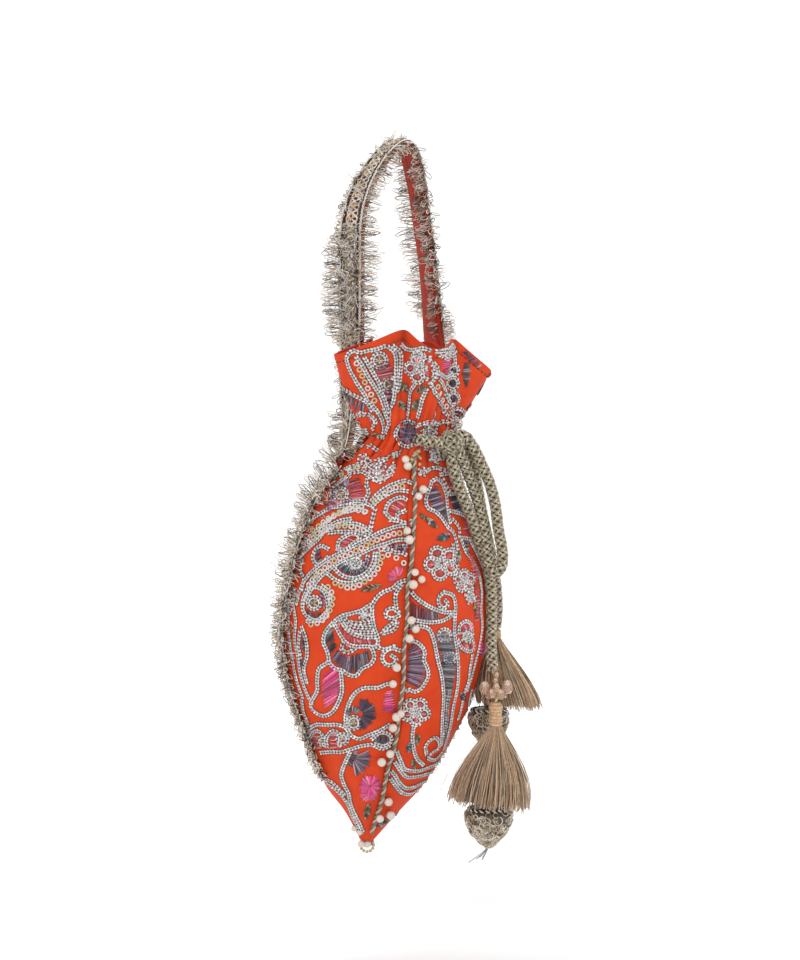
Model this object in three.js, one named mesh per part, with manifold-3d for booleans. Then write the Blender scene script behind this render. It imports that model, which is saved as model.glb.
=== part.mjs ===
// A potli: a drawstring pouch of four embroidered silk gores, hanging from its lace-trimmed handle.
// Millimetres, +Z up. The origin is the hang point, under the strap at the top of its arch.
// The pearl seam faces -Y, the strap is sewn to the side seams near -X and +X.
import * as THREE from 'three';
import { mergeVertices } from 'three/addons/utils/BufferGeometryUtils.js';
import Module from 'manifold-3d';

const wasm = await Module();
wasm.setup();

// Driving dimensions
const WALL = 1.6; // silk with its embroidery and backing
const GAP = 0.32; // clearance between neighbouring pieces
const TIP_Z = -346;
const NECK_Z = -142;
const BODY_SHARE = 0.7; // share of a gore's rows below the neck
const GORE_ROWS = 20;
const DEGREES_PER_COLUMN = 11.5;

const PLEAT_DEPTH = 0.16; // share of the neck's radius
const PLEAT_FADE = 16; // how far a gather runs below the neck

const STRAP_WIDTH = 15;
const STRAP_THICKNESS = 2;
const LACE_THICKNESS = 1.1;
const LACE_CLEARANCE = 1.5 * GAP; // lace over strap
const FRINGE_LENGTH = 11;
const FRINGE_NOTCH = 0.55; // depth kept between two locks
const LOCK_PITCH = 14;

const SEAM_CORD_RADIUS = 1.7;
const PEARL_RADIUS = 2.1;
const PEARL_SIDES = 10;
const CORD_RADIUS = 3.1;
const CORD_SIDES = 8;

// Seams round the pouch: degrees from the front, towards +X
const SEAM = { front: 0, right: 122, back: 189, left: 256 };
const GORES = [
  { name: 'panel_front_right', from: SEAM.front, to: SEAM.right, pleats: 3 },
  { name: 'panel_back_right', from: SEAM.right, to: SEAM.back, pleats: 2 },
  { name: 'panel_back_left', from: SEAM.back, to: SEAM.left, pleats: 2 },
  { name: 'panel_front_left', from: SEAM.left, to: SEAM.front + 360, pleats: 3 },
];

// Horizontal sections of the pouch, from the tip up to the neck
const SECTIONS = [
  { z: -346, halfWidth: 2.9, halfDepth: 2.6, axisX: -17.9, axisY: -1.6 },
  { z: -331, halfWidth: 13.8, halfDepth: 10.0, axisX: -15.4, axisY: -2.9 },
  { z: -317, halfWidth: 25.2, halfDepth: 17.6, axisX: -14.2, axisY: -3.8 },
  { z: -285, halfWidth: 41.0, halfDepth: 28.6, axisX: -11.2, axisY: -6.0 },
  { z: -258, halfWidth: 49.4, halfDepth: 34.4, axisX: -11.2, axisY: -7.9 },
  { z: -236, halfWidth: 51.5, halfDepth: 36.0, axisX: -10.8, axisY: -9.1 },
  { z: -205, halfWidth: 47.8, halfDepth: 34.2, axisX: -10.0, axisY: -11.5 },
  { z: -176, halfWidth: 38.2, halfDepth: 29.0, axisX: -9.9, axisY: -13.6 },
  { z: -155, halfWidth: 27.6, halfDepth: 23.4, axisX: -6.6, axisY: -16.8 },
  { z: -142, halfWidth: 21.0, halfDepth: 20.5, axisX: -3.0, axisY: -19.0 },
];

// The frilled mouth: lobes and folds round its rim; the lower the power, the fuller a lobe stands out
const RIM_AXIS = { x: -0.5, y: -20.9 };
const RIM = [
  { angle: 0, radius: 34, z: -99, power: 0.85 },
  { angle: 40, radius: 24, z: -95, power: 0.85 },
  { angle: 80, radius: 38.5, z: -111, power: 0.85 },
  { angle: 134, radius: 20, z: -97, power: 0.85 },
  { angle: 190, radius: 35, z: -101, power: 0.85 },
  { angle: 251, radius: 20, z: -95, power: 0.85 },
  { angle: 278, radius: 41, z: -102, power: 0.52 },
  { angle: 330, radius: 21, z: -90, power: 0.85 },
];

// The strap's underside, in the plane of its arch; turn is the band's twist about the vertical
const ARCH_PLANE = 13.4;
const ARCH = [
  { along: -27.2, z: -112, turn: 2 },
  { along: -26.2, z: -95, turn: 9 },
  { along: -26.4, z: -64, turn: 14 },
  { along: -25.6, z: -38, turn: 12 },
  { along: -22.0, z: -25.5, turn: 8 },
  { along: -15.5, z: -14, turn: 3 },
  { along: -8.5, z: -5.5, turn: 0 },
  { along: -2.5, z: -0.8, turn: 0 },
  { along: 0, z: 0, turn: 0 },
  { along: 4.0, z: -4.5, turn: 0 },
  { along: 7.8, z: -18, turn: -3 },
  { along: 11.8, z: -42, turn: -6 },
  { along: 15.2, z: -64, turn: -6 },
  { along: 18.4, z: -95, turn: 0 },
  { along: 20.5, z: -113, turn: 6 },
];
const STRAP_FOOT = [-150, -158]; // heights where the strap lies on the shoulder

// Fringe lift from the plane of its tape, in degrees, on the edge near the mouth and the far edge
const LIFT_FREE = { near: 16, far: 16 };
const LIFT_AT_FRILL = { left: { near: 122, far: 50 }, right: { near: 78, far: 60 } };
const FRILL_ZONE = { top: -78, bottom: -92 };
const SEAM_LACE = { top: -163, bottom: -312, leftLift: 52, rightLift: 14, stations: 24 };
const SEAM_LACE_TAPER = { fullStep: 0.42, least: 0.4 }; // narrows where a degree is under fullStep mm
const LOW_FRINGE = { share: 0.4, from: 0.2, to: 0.55 }; // the seam's fringe is short near the tip

// Pearls along a seam: height, and step to the right of the cord
const FRONT_PEARLS = [
  { z: -155.5, side: -2.7 }, { z: -159.5, side: -2.7 }, { z: -171, side: 2.6 }, { z: -191.5, side: -2.7 },
  { z: -196, side: -2.6 }, { z: -212, side: 2.6 }, { z: -215.3, side: 2.7 }, { z: -218.6, side: 2 },
  { z: -235.5, side: 1.5 }, { z: -244.5, side: 1 }, { z: -259, side: -2.7 }, { z: -267, side: -2.7 },
  { z: -280.5, side: 0.5 }, { z: -284, side: -1.8 }, { z: -301, side: -1 }, { z: -305.2, side: -2.7 },
  { z: -325, side: 2.7 }, { z: -329.5, side: 2.7 }, { z: -333, side: 2 },
];
const BACK_PEARLS = [
  { z: -158, side: 2.5 }, { z: -162, side: -2 }, { z: -190, side: -2.5 }, { z: -214, side: 2.5 },
  { z: -218, side: -1 }, { z: -245, side: 1 }, { z: -270, side: -2 }, { z: -296, side: 2 },
  { z: -318, side: -2 },
];
const SEAM_CORD = { top: -150, bottom: -341, steps: 24, sides: 6 };

// The drawstring and its tassels hang on the tied side: x to the right of it, y away behind it
const TIED_SIDE_TURN = -18;
const KNOT = { x: 27.6, y: -35, z: -144.5, halfWidth: 7.2, halfDepth: 7, halfHeight: 7.4 };
const CASING_EXIT = { front: -8, side: 84, meetsKnot: { front: 30, side: 52 }, z: -143 };
const CASING_CLEARANCE = 26.6; // neck axis to cord centre
const LOOP = [
  { x: 36.4, y: -35.5, z: -143.3 }, { x: 39.3, y: -34.6, z: -145.6 }, { x: 41.4, y: -33.4, z: -150.8 },
  { x: 43.4, y: -31.4, z: -159.5 }, { x: 46.6, y: -29.4, z: -170 }, { x: 49.8, y: -27.5, z: -182 },
  { x: 53.2, y: -26.1, z: -197 }, { x: 54, y: -25.6, z: -205 }, { x: 50.1, y: -25.2, z: -211.2 },
  { x: 46.2, y: -25, z: -205 }, { x: 45.8, y: -25.2, z: -197 }, { x: 42.6, y: -26.8, z: -183 },
  { x: 38.8, y: -28.8, z: -171 }, { x: 35, y: -32.2, z: -161 }, { x: 33.6, y: -34.8, z: -155.4 },
  { x: 32.9, y: -37.2, z: -151.8 },
];
const TAIL_FRONT = [
  { x: 25.2, y: -36, z: -152.4 }, { x: 26.6, y: -35.6, z: -160 }, { x: 30.4, y: -32.6, z: -171 },
  { x: 35, y: -28.6, z: -182 }, { x: 39.6, y: -22.6, z: -196 }, { x: 43.8, y: -17.4, z: -210 },
  { x: 45.5, y: -14, z: -225 }, { x: 45.4, y: -12.5, z: -240 }, { x: 45.4, y: -13.5, z: -251 },
  { x: 46.4, y: -15.8, z: -260 },
];
const TAIL_REAR = [
  { x: 32.3, y: -29.8, z: -148.9 }, { x: 35.4, y: -25.2, z: -156 }, { x: 38.2, y: -20, z: -168 },
  { x: 40.6, y: -15.4, z: -181 }, { x: 44, y: -11.6, z: -196 }, { x: 46.8, y: -8, z: -210 },
  { x: 48.4, y: -4.6, z: -222 }, { x: 48.8, y: -1, z: -232 }, { x: 48.2, y: 2.4, z: -240 },
];
const FRONT_TASSEL = {
  x: 47.6, y: -17, headTop: -275.4, headHeight: 12, headRadius: 5, skirtHeight: 40, skirtRadius: 19,
  skirtLean: -3.5, budRadius: 11.6, budHeight: 20, budShift: -3.5,
};
const REAR_TASSEL = {
  x: 48.2, y: 3.4, headTop: -243.6, headHeight: 7, headRadius: 4.2, skirtHeight: 31, skirtRadius: 15,
  skirtLean: 6.5, budRadius: 10, budHeight: 20, budShift: -3.5,
};
const SKIRT_LOCKS = 14;
const SKIRT_SHAPE = { top: 0.85, flare: 0.9, groove: 0.14, shortLock: 0.95, leanPower: 1.4 };
const CRYSTAL_RADIUS = 2.3;
const CRYSTALS = [
  { x: -2, y: -1.8, z: -268.6 }, { x: 1, y: -2.5, z: -272 }, { x: 2.7, y: 0, z: -270.4 },
  { x: 0.5, y: 2.5, z: -271.6 }, { x: -2.3, y: 1.3, z: -272.2 },
];
const THREAD_RADIUS = 1.1;

const FINISHES = {
  silk: new THREE.MeshStandardMaterial({ color: 0xe2431c, roughness: 0.6, metalness: 0 }),
  strapSilk: new THREE.MeshStandardMaterial({ color: 0xc23a1c, roughness: 0.65, metalness: 0 }),
  zari: new THREE.MeshStandardMaterial({ color: 0xa8967e, roughness: 0.45, metalness: 0.5 }),
  pearl: new THREE.MeshStandardMaterial({ color: 0xeee6da, roughness: 0.25, metalness: 0 }),
  cord: new THREE.MeshStandardMaterial({ color: 0x8b7f58, roughness: 0.6, metalness: 0.2 }),
  tassel: new THREE.MeshStandardMaterial({ color: 0xb89a78, roughness: 0.55, metalness: 0 }),
  crystal: new THREE.MeshStandardMaterial({ color: 0xd9b8a0, roughness: 0.1, metalness: 0 }),
};

const radians = THREE.MathUtils.degToRad;
const mix = THREE.MathUtils.lerp;

// Reads a column of a table on a smooth curve through its rows, which ascend in their key column
function read(rows, key, at, column) {
  const last = rows.length - 1;
  const above = rows.findIndex((row) => row[key] > at);
  const i = above < 0 ? last - 1 : Math.max(above - 1, 0);
  const slope = (k) => {
    const before = rows[Math.max(k - 1, 0)];
    const after = rows[Math.min(k + 1, last)];
    return (after[column] - before[column]) / (after[key] - before[key]);
  };
  const span = rows[i + 1][key] - rows[i][key];
  const t = THREE.MathUtils.clamp((at - rows[i][key]) / span, 0, 1);
  const rise = rows[i + 1][column] - rows[i][column];
  const ease = t * t * (3 - 2 * t);
  const bend = t * (1 - t) * span * ((1 - t) * slope(i) - t * slope(i + 1));
  return rows[i][column] + ease * rise + bend;
}

// A closed wall or ribbon: a box of cells whose corners are placed by (u, v, t), each from 0 to 1
function shell(columns, rows, place) {
  const box = new THREE.BoxGeometry(1, 1, 1, columns, rows, 1);
  const corners = box.getAttribute('position');
  for (let i = 0; i < corners.count; i += 1) {
    const point = place(corners.getX(i) + 0.5, corners.getY(i) + 0.5, corners.getZ(i) + 0.5);
    corners.setXYZ(i, point.x, point.y, point.z);
  }
  return welded(box);
}

function welded(geometry) {
  geometry.deleteAttribute('normal');
  geometry.deleteAttribute('uv');
  const whole = mergeVertices(geometry, 1e-4);
  whole.computeVertexNormals();
  return whole;
}

function solidOf(geometry) {
  const whole = welded(geometry);
  const vertProperties = new Float32Array(whole.getAttribute('position').array);
  const triVerts = new Uint32Array(whole.getIndex().array);
  return new wasm.Manifold(new wasm.Mesh({ numProp: 3, vertProperties, triVerts }));
}

function fused(geometries) {
  const whole = geometries.map(solidOf).reduce((sum, next) => sum.add(next));
  const { vertProperties, triVerts } = whole.getMesh();
  const geometry = new THREE.BufferGeometry();
  geometry.setAttribute('position', new THREE.BufferAttribute(new Float32Array(vertProperties), 3));
  geometry.setIndex(new THREE.BufferAttribute(new Uint32Array(triVerts), 1));
  geometry.computeVertexNormals();
  return geometry;
}

function tube(points, radius, sides, steps) {
  const section = new THREE.Shape();
  for (let i = 0; i < sides; i += 1) {
    const turn = (2 * Math.PI * i) / sides;
    section[i ? 'lineTo' : 'moveTo'](radius * Math.cos(turn), radius * Math.sin(turn));
  }
  const extrudePath = new THREE.CatmullRomCurve3(points);
  return new THREE.ExtrudeGeometry(section, { steps, extrudePath });
}

const vector = ({ x, y, z }) => new THREE.Vector3(x, y, z);

const potli = new THREE.Group();

function add(parent, name, geometry, finish) {
  const mesh = new THREE.Mesh(geometry, FINISHES[finish]);
  mesh.name = name;
  parent.add(mesh);
  return mesh;
}

// The cloth's middle surface: angle in degrees from the front, v from 0 at the tip to 1 at the rim
const RIM_ROUND = [-360, 0, 360].flatMap((turn) => RIM.map((row) => ({ ...row, angle: row.angle + turn })));

// Depth of the gathers round the neck, from 0 on each seam to 1 in a fold
function fold(angle) {
  const turned = THREE.MathUtils.euclideanModulo(angle, 360);
  const { from, to, pleats } = GORES.find((gore) => turned < gore.to);
  return 0.5 - 0.5 * Math.cos((2 * Math.PI * pleats * (turned - from)) / (to - from));
}

function clothPoint(angle, v) {
  const sine = Math.sin(radians(angle));
  const cosine = Math.cos(radians(angle));
  const bodyZ = Math.min(mix(TIP_Z, NECK_Z, v / BODY_SHARE), NECK_Z);
  const halfWidth = read(SECTIONS, 'z', bodyZ, 'halfWidth');
  const halfDepth = read(SECTIONS, 'z', bodyZ, 'halfDepth');
  const axisX = read(SECTIONS, 'z', bodyZ, 'axisX');
  const axisY = read(SECTIONS, 'z', bodyZ, 'axisY');
  const rise = Math.max((v - BODY_SHARE) / (1 - BODY_SHARE), 0);
  const rimRadius = read(RIM_ROUND, 'angle', angle, 'radius');
  const rimZ = read(RIM_ROUND, 'angle', angle, 'z');
  const fadeBelow = Math.exp(-(((bodyZ - NECK_Z) / PLEAT_FADE) ** 2));
  const gather = PLEAT_DEPTH * fadeBelow * (1 - rise) ** 2;
  const pleat = 1 - gather * fold(angle);
  const flare = rise ** read(RIM_ROUND, 'angle', angle, 'power');
  return new THREE.Vector3(
    mix(axisX, RIM_AXIS.x, rise) + mix(halfWidth, rimRadius, flare) * pleat * sine,
    mix(axisY, RIM_AXIS.y, rise) - mix(halfDepth, rimRadius, flare) * pleat * cosine,
    bodyZ + (rimZ - NECK_Z) * rise,
  );
}

const rowAt = (z) => (BODY_SHARE * (z - TIP_Z)) / (NECK_Z - TIP_Z);

// The cloth's frame at a point: outward normal, and unit steps round and up the pouch
function clothFrame(angle, v) {
  const turn = 0.5;
  const lift = 0.004;
  const round = clothPoint(angle + turn, v).sub(clothPoint(angle - turn, v));
  const up = clothPoint(angle, Math.min(v + lift, 1)).sub(clothPoint(angle, Math.max(v - lift, 0)));
  const millimetresPerDegree = round.length() / (2 * turn);
  round.normalize();
  up.normalize();
  const outward = new THREE.Vector3().crossVectors(round, up).normalize();
  return { point: clothPoint(angle, v), round, up, outward, millimetresPerDegree };
}

const offCloth = (angle, v, height) => {
  const frame = clothFrame(angle, v);
  return frame.point.addScaledVector(frame.outward, height);
};

// Four gores
function gore({ from, to }) {
  const columns = Math.round((to - from) / DEGREES_PER_COLUMN);
  return shell(columns, GORE_ROWS, (u, v, t) => {
    const trim = (seam) => GAP / 2 / clothFrame(seam, v).millimetresPerDegree;
    const angle = mix(from + trim(from), to - trim(to), u);
    return offCloth(angle, v, (t - 0.5) * WALL);
  });
}

GORES.forEach((row) => add(potli, row.name, gore(row), 'silk'));

// The handle: a silk strap from the left seam, over its arch, to the right seam
const ON_CLOTH = WALL / 2 + 2 * GAP;
const [FOOT_TOP, FOOT_END] = STRAP_FOOT;

function strapFoot(seam, z, backward) {
  const { point, round, outward } = clothFrame(seam, rowAt(z));
  return { point: point.addScaledVector(outward, ON_CLOTH), across: round.multiplyScalar(backward) };
}

function archRow({ along, z, turn }) {
  const plane = radians(ARCH_PLANE);
  const twist = radians(ARCH_PLANE + turn);
  return {
    point: new THREE.Vector3(along * Math.cos(plane), along * Math.sin(plane), z),
    across: new THREE.Vector3(-Math.sin(twist), Math.cos(twist), 0),
  };
}

const strapRoute = [
  strapFoot(SEAM.left, FOOT_END, -1),
  strapFoot(SEAM.left, FOOT_TOP, -1),
  ...ARCH.map(archRow),
  strapFoot(SEAM.right, FOOT_TOP, 1),
  strapFoot(SEAM.right, FOOT_END, 1),
];
const strapLine = new THREE.CatmullRomCurve3(strapRoute.map((row) => row.point));

function strapFrame(share) {
  const place = share * (strapRoute.length - 1);
  const i = Math.min(Math.floor(place), strapRoute.length - 2);
  const along = strapLine.getTangent(share);
  const across = strapRoute[i].across.clone().lerp(strapRoute[i + 1].across, place - i);
  across.addScaledVector(along, -across.dot(along)).normalize();
  const outward = new THREE.Vector3().crossVectors(along, across);
  return { point: strapLine.getPoint(share), across, outward };
}

const strapShare = (v) => strapLine.getUtoTmapping(v);
const strapStations = 2 * Math.round(strapLine.getLength() / LOCK_PITCH);

add(potli, 'handle_strap', shell(1, strapStations, (u, v, t) => {
  const { point, across, outward } = strapFrame(strapShare(v));
  return point.addScaledVector(across, (0.5 - u) * STRAP_WIDTH).addScaledVector(outward, t * STRAP_THICKNESS);
}), 'strapSilk');

// Lace tape with a loop fringe on both edges: tip, edge, middle, edge, tip across its width
const LACE_COLUMNS = 4;
const lockLength = (station) => FRINGE_LENGTH * (station % 2 ? 1 : FRINGE_NOTCH);

function fringeCorner(edge, sideways, outward, length, lift, thickness) {
  const tilt = radians(lift);
  const reach = sideways.clone().multiplyScalar(Math.cos(tilt)).addScaledVector(outward, Math.sin(tilt));
  const face = outward.clone().multiplyScalar(Math.cos(tilt)).addScaledVector(sideways, -Math.sin(tilt));
  return edge.clone().addScaledVector(reach, length).addScaledVector(face, thickness);
}

add(potli, 'lace_handle', shell(LACE_COLUMNS, strapStations, (u, v, t) => {
  const share = strapShare(v);
  const { point, across, outward } = strapFrame(share);
  const base = point.addScaledVector(outward, STRAP_THICKNESS + LACE_CLEARANCE);
  const step = Math.round((0.5 - u) * LACE_COLUMNS);
  const inner = Math.sign(step) * Math.min(Math.abs(step), 1);
  const edge = base.addScaledVector(across, (inner * STRAP_WIDTH) / 2);
  if (Math.abs(step) < 2) {
    return edge.addScaledVector(outward, t * LACE_THICKNESS);
  }
  const squeeze = THREE.MathUtils.smoothstep(-point.z, -FRILL_ZONE.top, -FRILL_ZONE.bottom);
  const leg = share < 0.5 ? 'left' : 'right';
  const rim = step < 0 ? 'near' : 'far';
  const lift = mix(LIFT_FREE[rim], LIFT_AT_FRILL[leg][rim], squeeze);
  const sideways = across.clone().multiplyScalar(Math.sign(step));
  const length = lockLength(Math.round(v * strapStations));
  return fringeCorner(edge, sideways, outward, length, lift, t * LACE_THICKNESS);
}), 'zari');

function seamLace(seam, lift) {
  const { stations, top, bottom } = SEAM_LACE;
  return shell(LACE_COLUMNS, stations, (u, v, t) => {
    const row = rowAt(mix(bottom, top, v));
    const step = Math.round((u - 0.5) * LACE_COLUMNS);
    const inner = Math.sign(step) * Math.min(Math.abs(step), 1);
    const { millimetresPerDegree } = clothFrame(seam, row);
    const { fullStep, least } = SEAM_LACE_TAPER;
    const narrowing = THREE.MathUtils.clamp(millimetresPerDegree / fullStep, least, 1);
    const angle = seam + (inner * narrowing * STRAP_WIDTH) / 2 / millimetresPerDegree;
    const { point, round, outward } = clothFrame(angle, row);
    const edge = point.addScaledVector(outward, ON_CLOTH);
    if (Math.abs(step) < 2) {
      return edge.addScaledVector(outward, t * LACE_THICKNESS);
    }
    const sideways = round.multiplyScalar(Math.sign(step));
    const grown = THREE.MathUtils.smoothstep(v, LOW_FRINGE.from, LOW_FRINGE.to);
    const length = lockLength(Math.round(v * stations)) * mix(LOW_FRINGE.share, 1, grown);
    return fringeCorner(edge, sideways, outward, length, lift, t * LACE_THICKNESS);
  });
}

add(potli, 'lace_seam_left', seamLace(SEAM.left, SEAM_LACE.leftLift), 'zari');
add(potli, 'lace_seam_right', seamLace(SEAM.right, SEAM_LACE.rightLift), 'zari');

// Pearl seams: a twisted cord with pearls sewn along it
const pearlAt = (point) => {
  const pearl = new THREE.SphereGeometry(PEARL_RADIUS, PEARL_SIDES, 4);
  return pearl.translate(point.x, point.y, point.z);
};

function pearlSeam(seam, pearls) {
  const { top, bottom, steps, sides } = SEAM_CORD;
  const height = WALL / 2 + GAP + SEAM_CORD_RADIUS;
  const points = [];
  for (let i = 0; i <= steps; i += 1) {
    points.push(offCloth(seam, rowAt(mix(bottom, top, i / steps)), height));
  }
  const cord = tube(points, SEAM_CORD_RADIUS, sides, steps);
  const beads = pearls.map(({ z, side }) => {
    const { point, round, outward } = clothFrame(seam, rowAt(z));
    return pearlAt(point.addScaledVector(outward, WALL / 2 + GAP + PEARL_RADIUS).addScaledVector(round, side));
  });
  return fused([cord, ...beads]);
}

add(potli, 'pearl_seam_front', pearlSeam(SEAM.front, FRONT_PEARLS), 'pearl');
add(potli, 'pearl_seam_back', pearlSeam(SEAM.back, BACK_PEARLS), 'pearl');

// Tip cluster: a pearl in a ring under the tip, with a pair beside it
const tipCentre = new THREE.Vector3(SECTIONS[0].axisX, SECTIONS[0].axisY, TIP_Z - GAP - PEARL_RADIUS);
const TIP_STEPS = [{ x: 0, y: 0 }, { x: -3.2, y: -0.6 }, { x: 2.6, y: 1.8 }];
add(potli, 'tip_cluster', fused(TIP_STEPS.map(({ x, y }) => (
  pearlAt(new THREE.Vector3(tipCentre.x + x, tipCentre.y + y, tipCentre.z - 0.1 * Math.hypot(x, y)))
))), 'pearl');

// The drawstring, tied in a loop at the right of the neck
const tiedSide = new THREE.Group();
tiedSide.rotation.z = radians(TIED_SIDE_TURN);
potli.add(tiedSide);

const neck = SECTIONS[SECTIONS.length - 1];
const neckOnTiedSide = new THREE.Vector3(neck.axisX, neck.axisY, 0);
neckOnTiedSide.applyAxisAngle(new THREE.Vector3(0, 0, 1), -tiedSide.rotation.z);

function casingStretch(fromAngle, toAngle) {
  const points = [0, 0.33, 0.67, 1].map((share) => {
    const turn = radians(mix(fromAngle, toAngle, share) - TIED_SIDE_TURN);
    return new THREE.Vector3(
      neckOnTiedSide.x + CASING_CLEARANCE * Math.sin(turn),
      neckOnTiedSide.y - CASING_CLEARANCE * Math.cos(turn),
      mix(CASING_EXIT.z, KNOT.z, share),
    );
  });
  return tube(points, CORD_RADIUS, CORD_SIDES, 6);
}

const knotBall = new THREE.SphereGeometry(1, 10, 6);
knotBall.scale(KNOT.halfWidth, KNOT.halfDepth, KNOT.halfHeight);
knotBall.translate(KNOT.x, KNOT.y, KNOT.z);
add(tiedSide, 'drawstring_knot', fused([
  knotBall,
  casingStretch(CASING_EXIT.front, CASING_EXIT.meetsKnot.front),
  casingStretch(CASING_EXIT.side, CASING_EXIT.meetsKnot.side),
]), 'cord');

const LOOP_STEPS = 26;
const TAIL_STEPS = 14;
const hangingCord = (rows, steps) => welded(tube(rows.map(vector), CORD_RADIUS, CORD_SIDES, steps));
add(tiedSide, 'drawstring_loop', hangingCord(LOOP, LOOP_STEPS), 'cord');
add(tiedSide, 'drawstring_tail_front', hangingCord(TAIL_FRONT, TAIL_STEPS), 'cord');
add(tiedSide, 'drawstring_tail_rear', hangingCord(TAIL_REAR, TAIL_STEPS), 'cord');

// Tassels: a wrapped head, a skirt of silk locks and a lace bud on a thread
const upright = (geometry) => geometry.rotateX(Math.PI / 2);

function lathed(profile, sides) {
  const outline = profile.map(([radius, height]) => new THREE.Vector2(radius, height));
  return upright(new THREE.LatheGeometry(outline, sides));
}

function tasselHead({ headRadius, headHeight }) {
  return lathed([
    [0, -headHeight],
    [0.8 * headRadius, -headHeight],
    [headRadius, -0.72 * headHeight],
    [0.82 * headRadius, -0.5 * headHeight],
    [headRadius, -0.2 * headHeight],
    [0.62 * headRadius, 0],
    [0, 0],
  ], 12);
}

function tasselSkirt({ headRadius, skirtHeight, skirtRadius, skirtLean }) {
  const { top, flare, groove, shortLock, leanPower } = SKIRT_SHAPE;
  const sides = 2 * SKIRT_LOCKS;
  const skirt = upright(new THREE.CylinderGeometry(1, 1, 1, sides, 4));
  const corners = skirt.getAttribute('position');
  for (let i = 0; i < corners.count; i += 1) {
    const [x, y, z] = [corners.getX(i), corners.getY(i), corners.getZ(i)];
    const drop = 0.5 - z;
    const lock = Math.round((Math.atan2(y, x) / (2 * Math.PI)) * sides);
    const ridge = Math.hypot(x, y) > 0.5 && lock % 2 ? 1 - groove * drop : 1;
    const radius = mix(top * headRadius, skirtRadius, Math.sin(drop * 0.5 * Math.PI) ** flare) * ridge;
    const hem = lock % 2 ? 1 : shortLock;
    corners.setXYZ(i, x * radius + skirtLean * drop ** leanPower, y * radius, -drop * skirtHeight * hem);
  }
  return skirt;
}

function laceBud({ budRadius, budHeight }) {
  return lathed([
    [0, -budHeight],
    [0.3 * budRadius, -0.9 * budHeight],
    [0.72 * budRadius, -0.66 * budHeight],
    [0.96 * budRadius, -0.38 * budHeight],
    [budRadius, -0.16 * budHeight],
    [0.74 * budRadius, 0],
    [0, 0],
  ], 14);
}

function addTassel(name, tassel) {
  const hung = new THREE.Group();
  hung.position.set(tassel.x, tassel.y, tassel.headTop);
  tiedSide.add(hung);
  add(hung, `${name}_head`, welded(tasselHead(tassel)), 'tassel');
  const skirtTop = -tassel.headHeight - GAP;
  add(hung, `${name}_skirt`, welded(tasselSkirt(tassel)), 'tassel').position.z = skirtTop;
  const bud = add(hung, `${name}_bud`, welded(laceBud(tassel)), 'zari');
  bud.position.set(tassel.budShift, 0, skirtTop - tassel.skirtHeight - 2 * GAP);
}

addTassel('tassel_front', FRONT_TASSEL);
addTassel('tassel_rear', REAR_TASSEL);

// Crystals in a cluster on the thread between the front tail and its tassel
const threadTop = TAIL_FRONT[TAIL_FRONT.length - 1].z - GAP;
const threadBottom = FRONT_TASSEL.headTop + GAP;
const thread = upright(new THREE.CylinderGeometry(THREAD_RADIUS, THREAD_RADIUS, threadTop - threadBottom, 8));
thread.translate(0, 0, (threadTop + threadBottom) / 2);
const crystalProfile = [[0, -1], [0.5, -1], [1, -0.25], [1, 0.25], [0.5, 1], [0, 1]];
const crystals = CRYSTALS.map(({ x, y, z }) => {
  const profile = crystalProfile.map(([r, h]) => [r * CRYSTAL_RADIUS, h * CRYSTAL_RADIUS]);
  return lathed(profile, 8).translate(x, y, z);
});
const cluster = add(tiedSide, 'tassel_front_crystals', fused([thread, ...crystals]), 'crystal');
cluster.position.set(FRONT_TASSEL.x, FRONT_TASSEL.y, 0);

export default potli;
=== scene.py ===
import math

import bpy
import numpy as np
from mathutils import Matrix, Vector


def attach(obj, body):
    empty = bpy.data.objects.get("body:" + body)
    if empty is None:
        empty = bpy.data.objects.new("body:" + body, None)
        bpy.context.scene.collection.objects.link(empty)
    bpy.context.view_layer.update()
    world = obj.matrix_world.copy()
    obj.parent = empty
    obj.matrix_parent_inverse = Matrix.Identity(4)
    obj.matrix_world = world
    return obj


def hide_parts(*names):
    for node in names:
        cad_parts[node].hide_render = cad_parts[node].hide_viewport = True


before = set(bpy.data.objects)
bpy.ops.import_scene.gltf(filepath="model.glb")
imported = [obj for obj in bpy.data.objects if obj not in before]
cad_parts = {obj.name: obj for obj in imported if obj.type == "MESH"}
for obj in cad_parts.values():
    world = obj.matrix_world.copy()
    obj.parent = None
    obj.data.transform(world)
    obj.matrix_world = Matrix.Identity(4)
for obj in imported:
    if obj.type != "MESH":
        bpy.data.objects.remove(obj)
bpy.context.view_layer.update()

# Studio: a pale floor that curves up all round, three soft lights on the bag, one on the backdrop, a bright
# sky, and a camera level with the pouch at the photo's three-quarter angle. Nothing here is part of the bag.
MM = 0.001
FLOOR_Z = -0.40
FLOOR_RADIUS = 3.0
FLOOR_RIM = 2.2
RIM_STEPS = 8
RIM_INSET = 0.01
RIM_GROWTH = 0.06
PAPER_WHITE = (0.94, 0.94, 0.94, 1)
SKY_STRENGTH = 0.62
VIEW_AZIMUTH = math.radians(-18)
VIEW_ELEVATION = math.radians(4)
VIEW_DISTANCE = 1.6
VIEW_TARGET = np.array((0.0, 0.0, -0.166))
LENS_MM = 120
LIGHTS = {  # place in metres from the bag's middle, size in metres, watts
    "key_softbox": ((-1.0, -1.5, 1.3), 1.4, 19),
    "fill_softbox": ((1.5, -1.1, 0.5), 1.6, 9),
    "back_softbox": ((0.3, 1.6, 1.4), 1.6, 9),
}
BACKDROP_LIGHT = ((0.0, 0.9, 1.7), (0.0, 3.2, 0.2), 2.0, 46)  # place, what it lights, size, watts


def set_inputs(node, values):
    """Sets constants on a shader node's sockets."""
    for socket, value in values.items():
        node.inputs[socket].default_value = value


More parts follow.
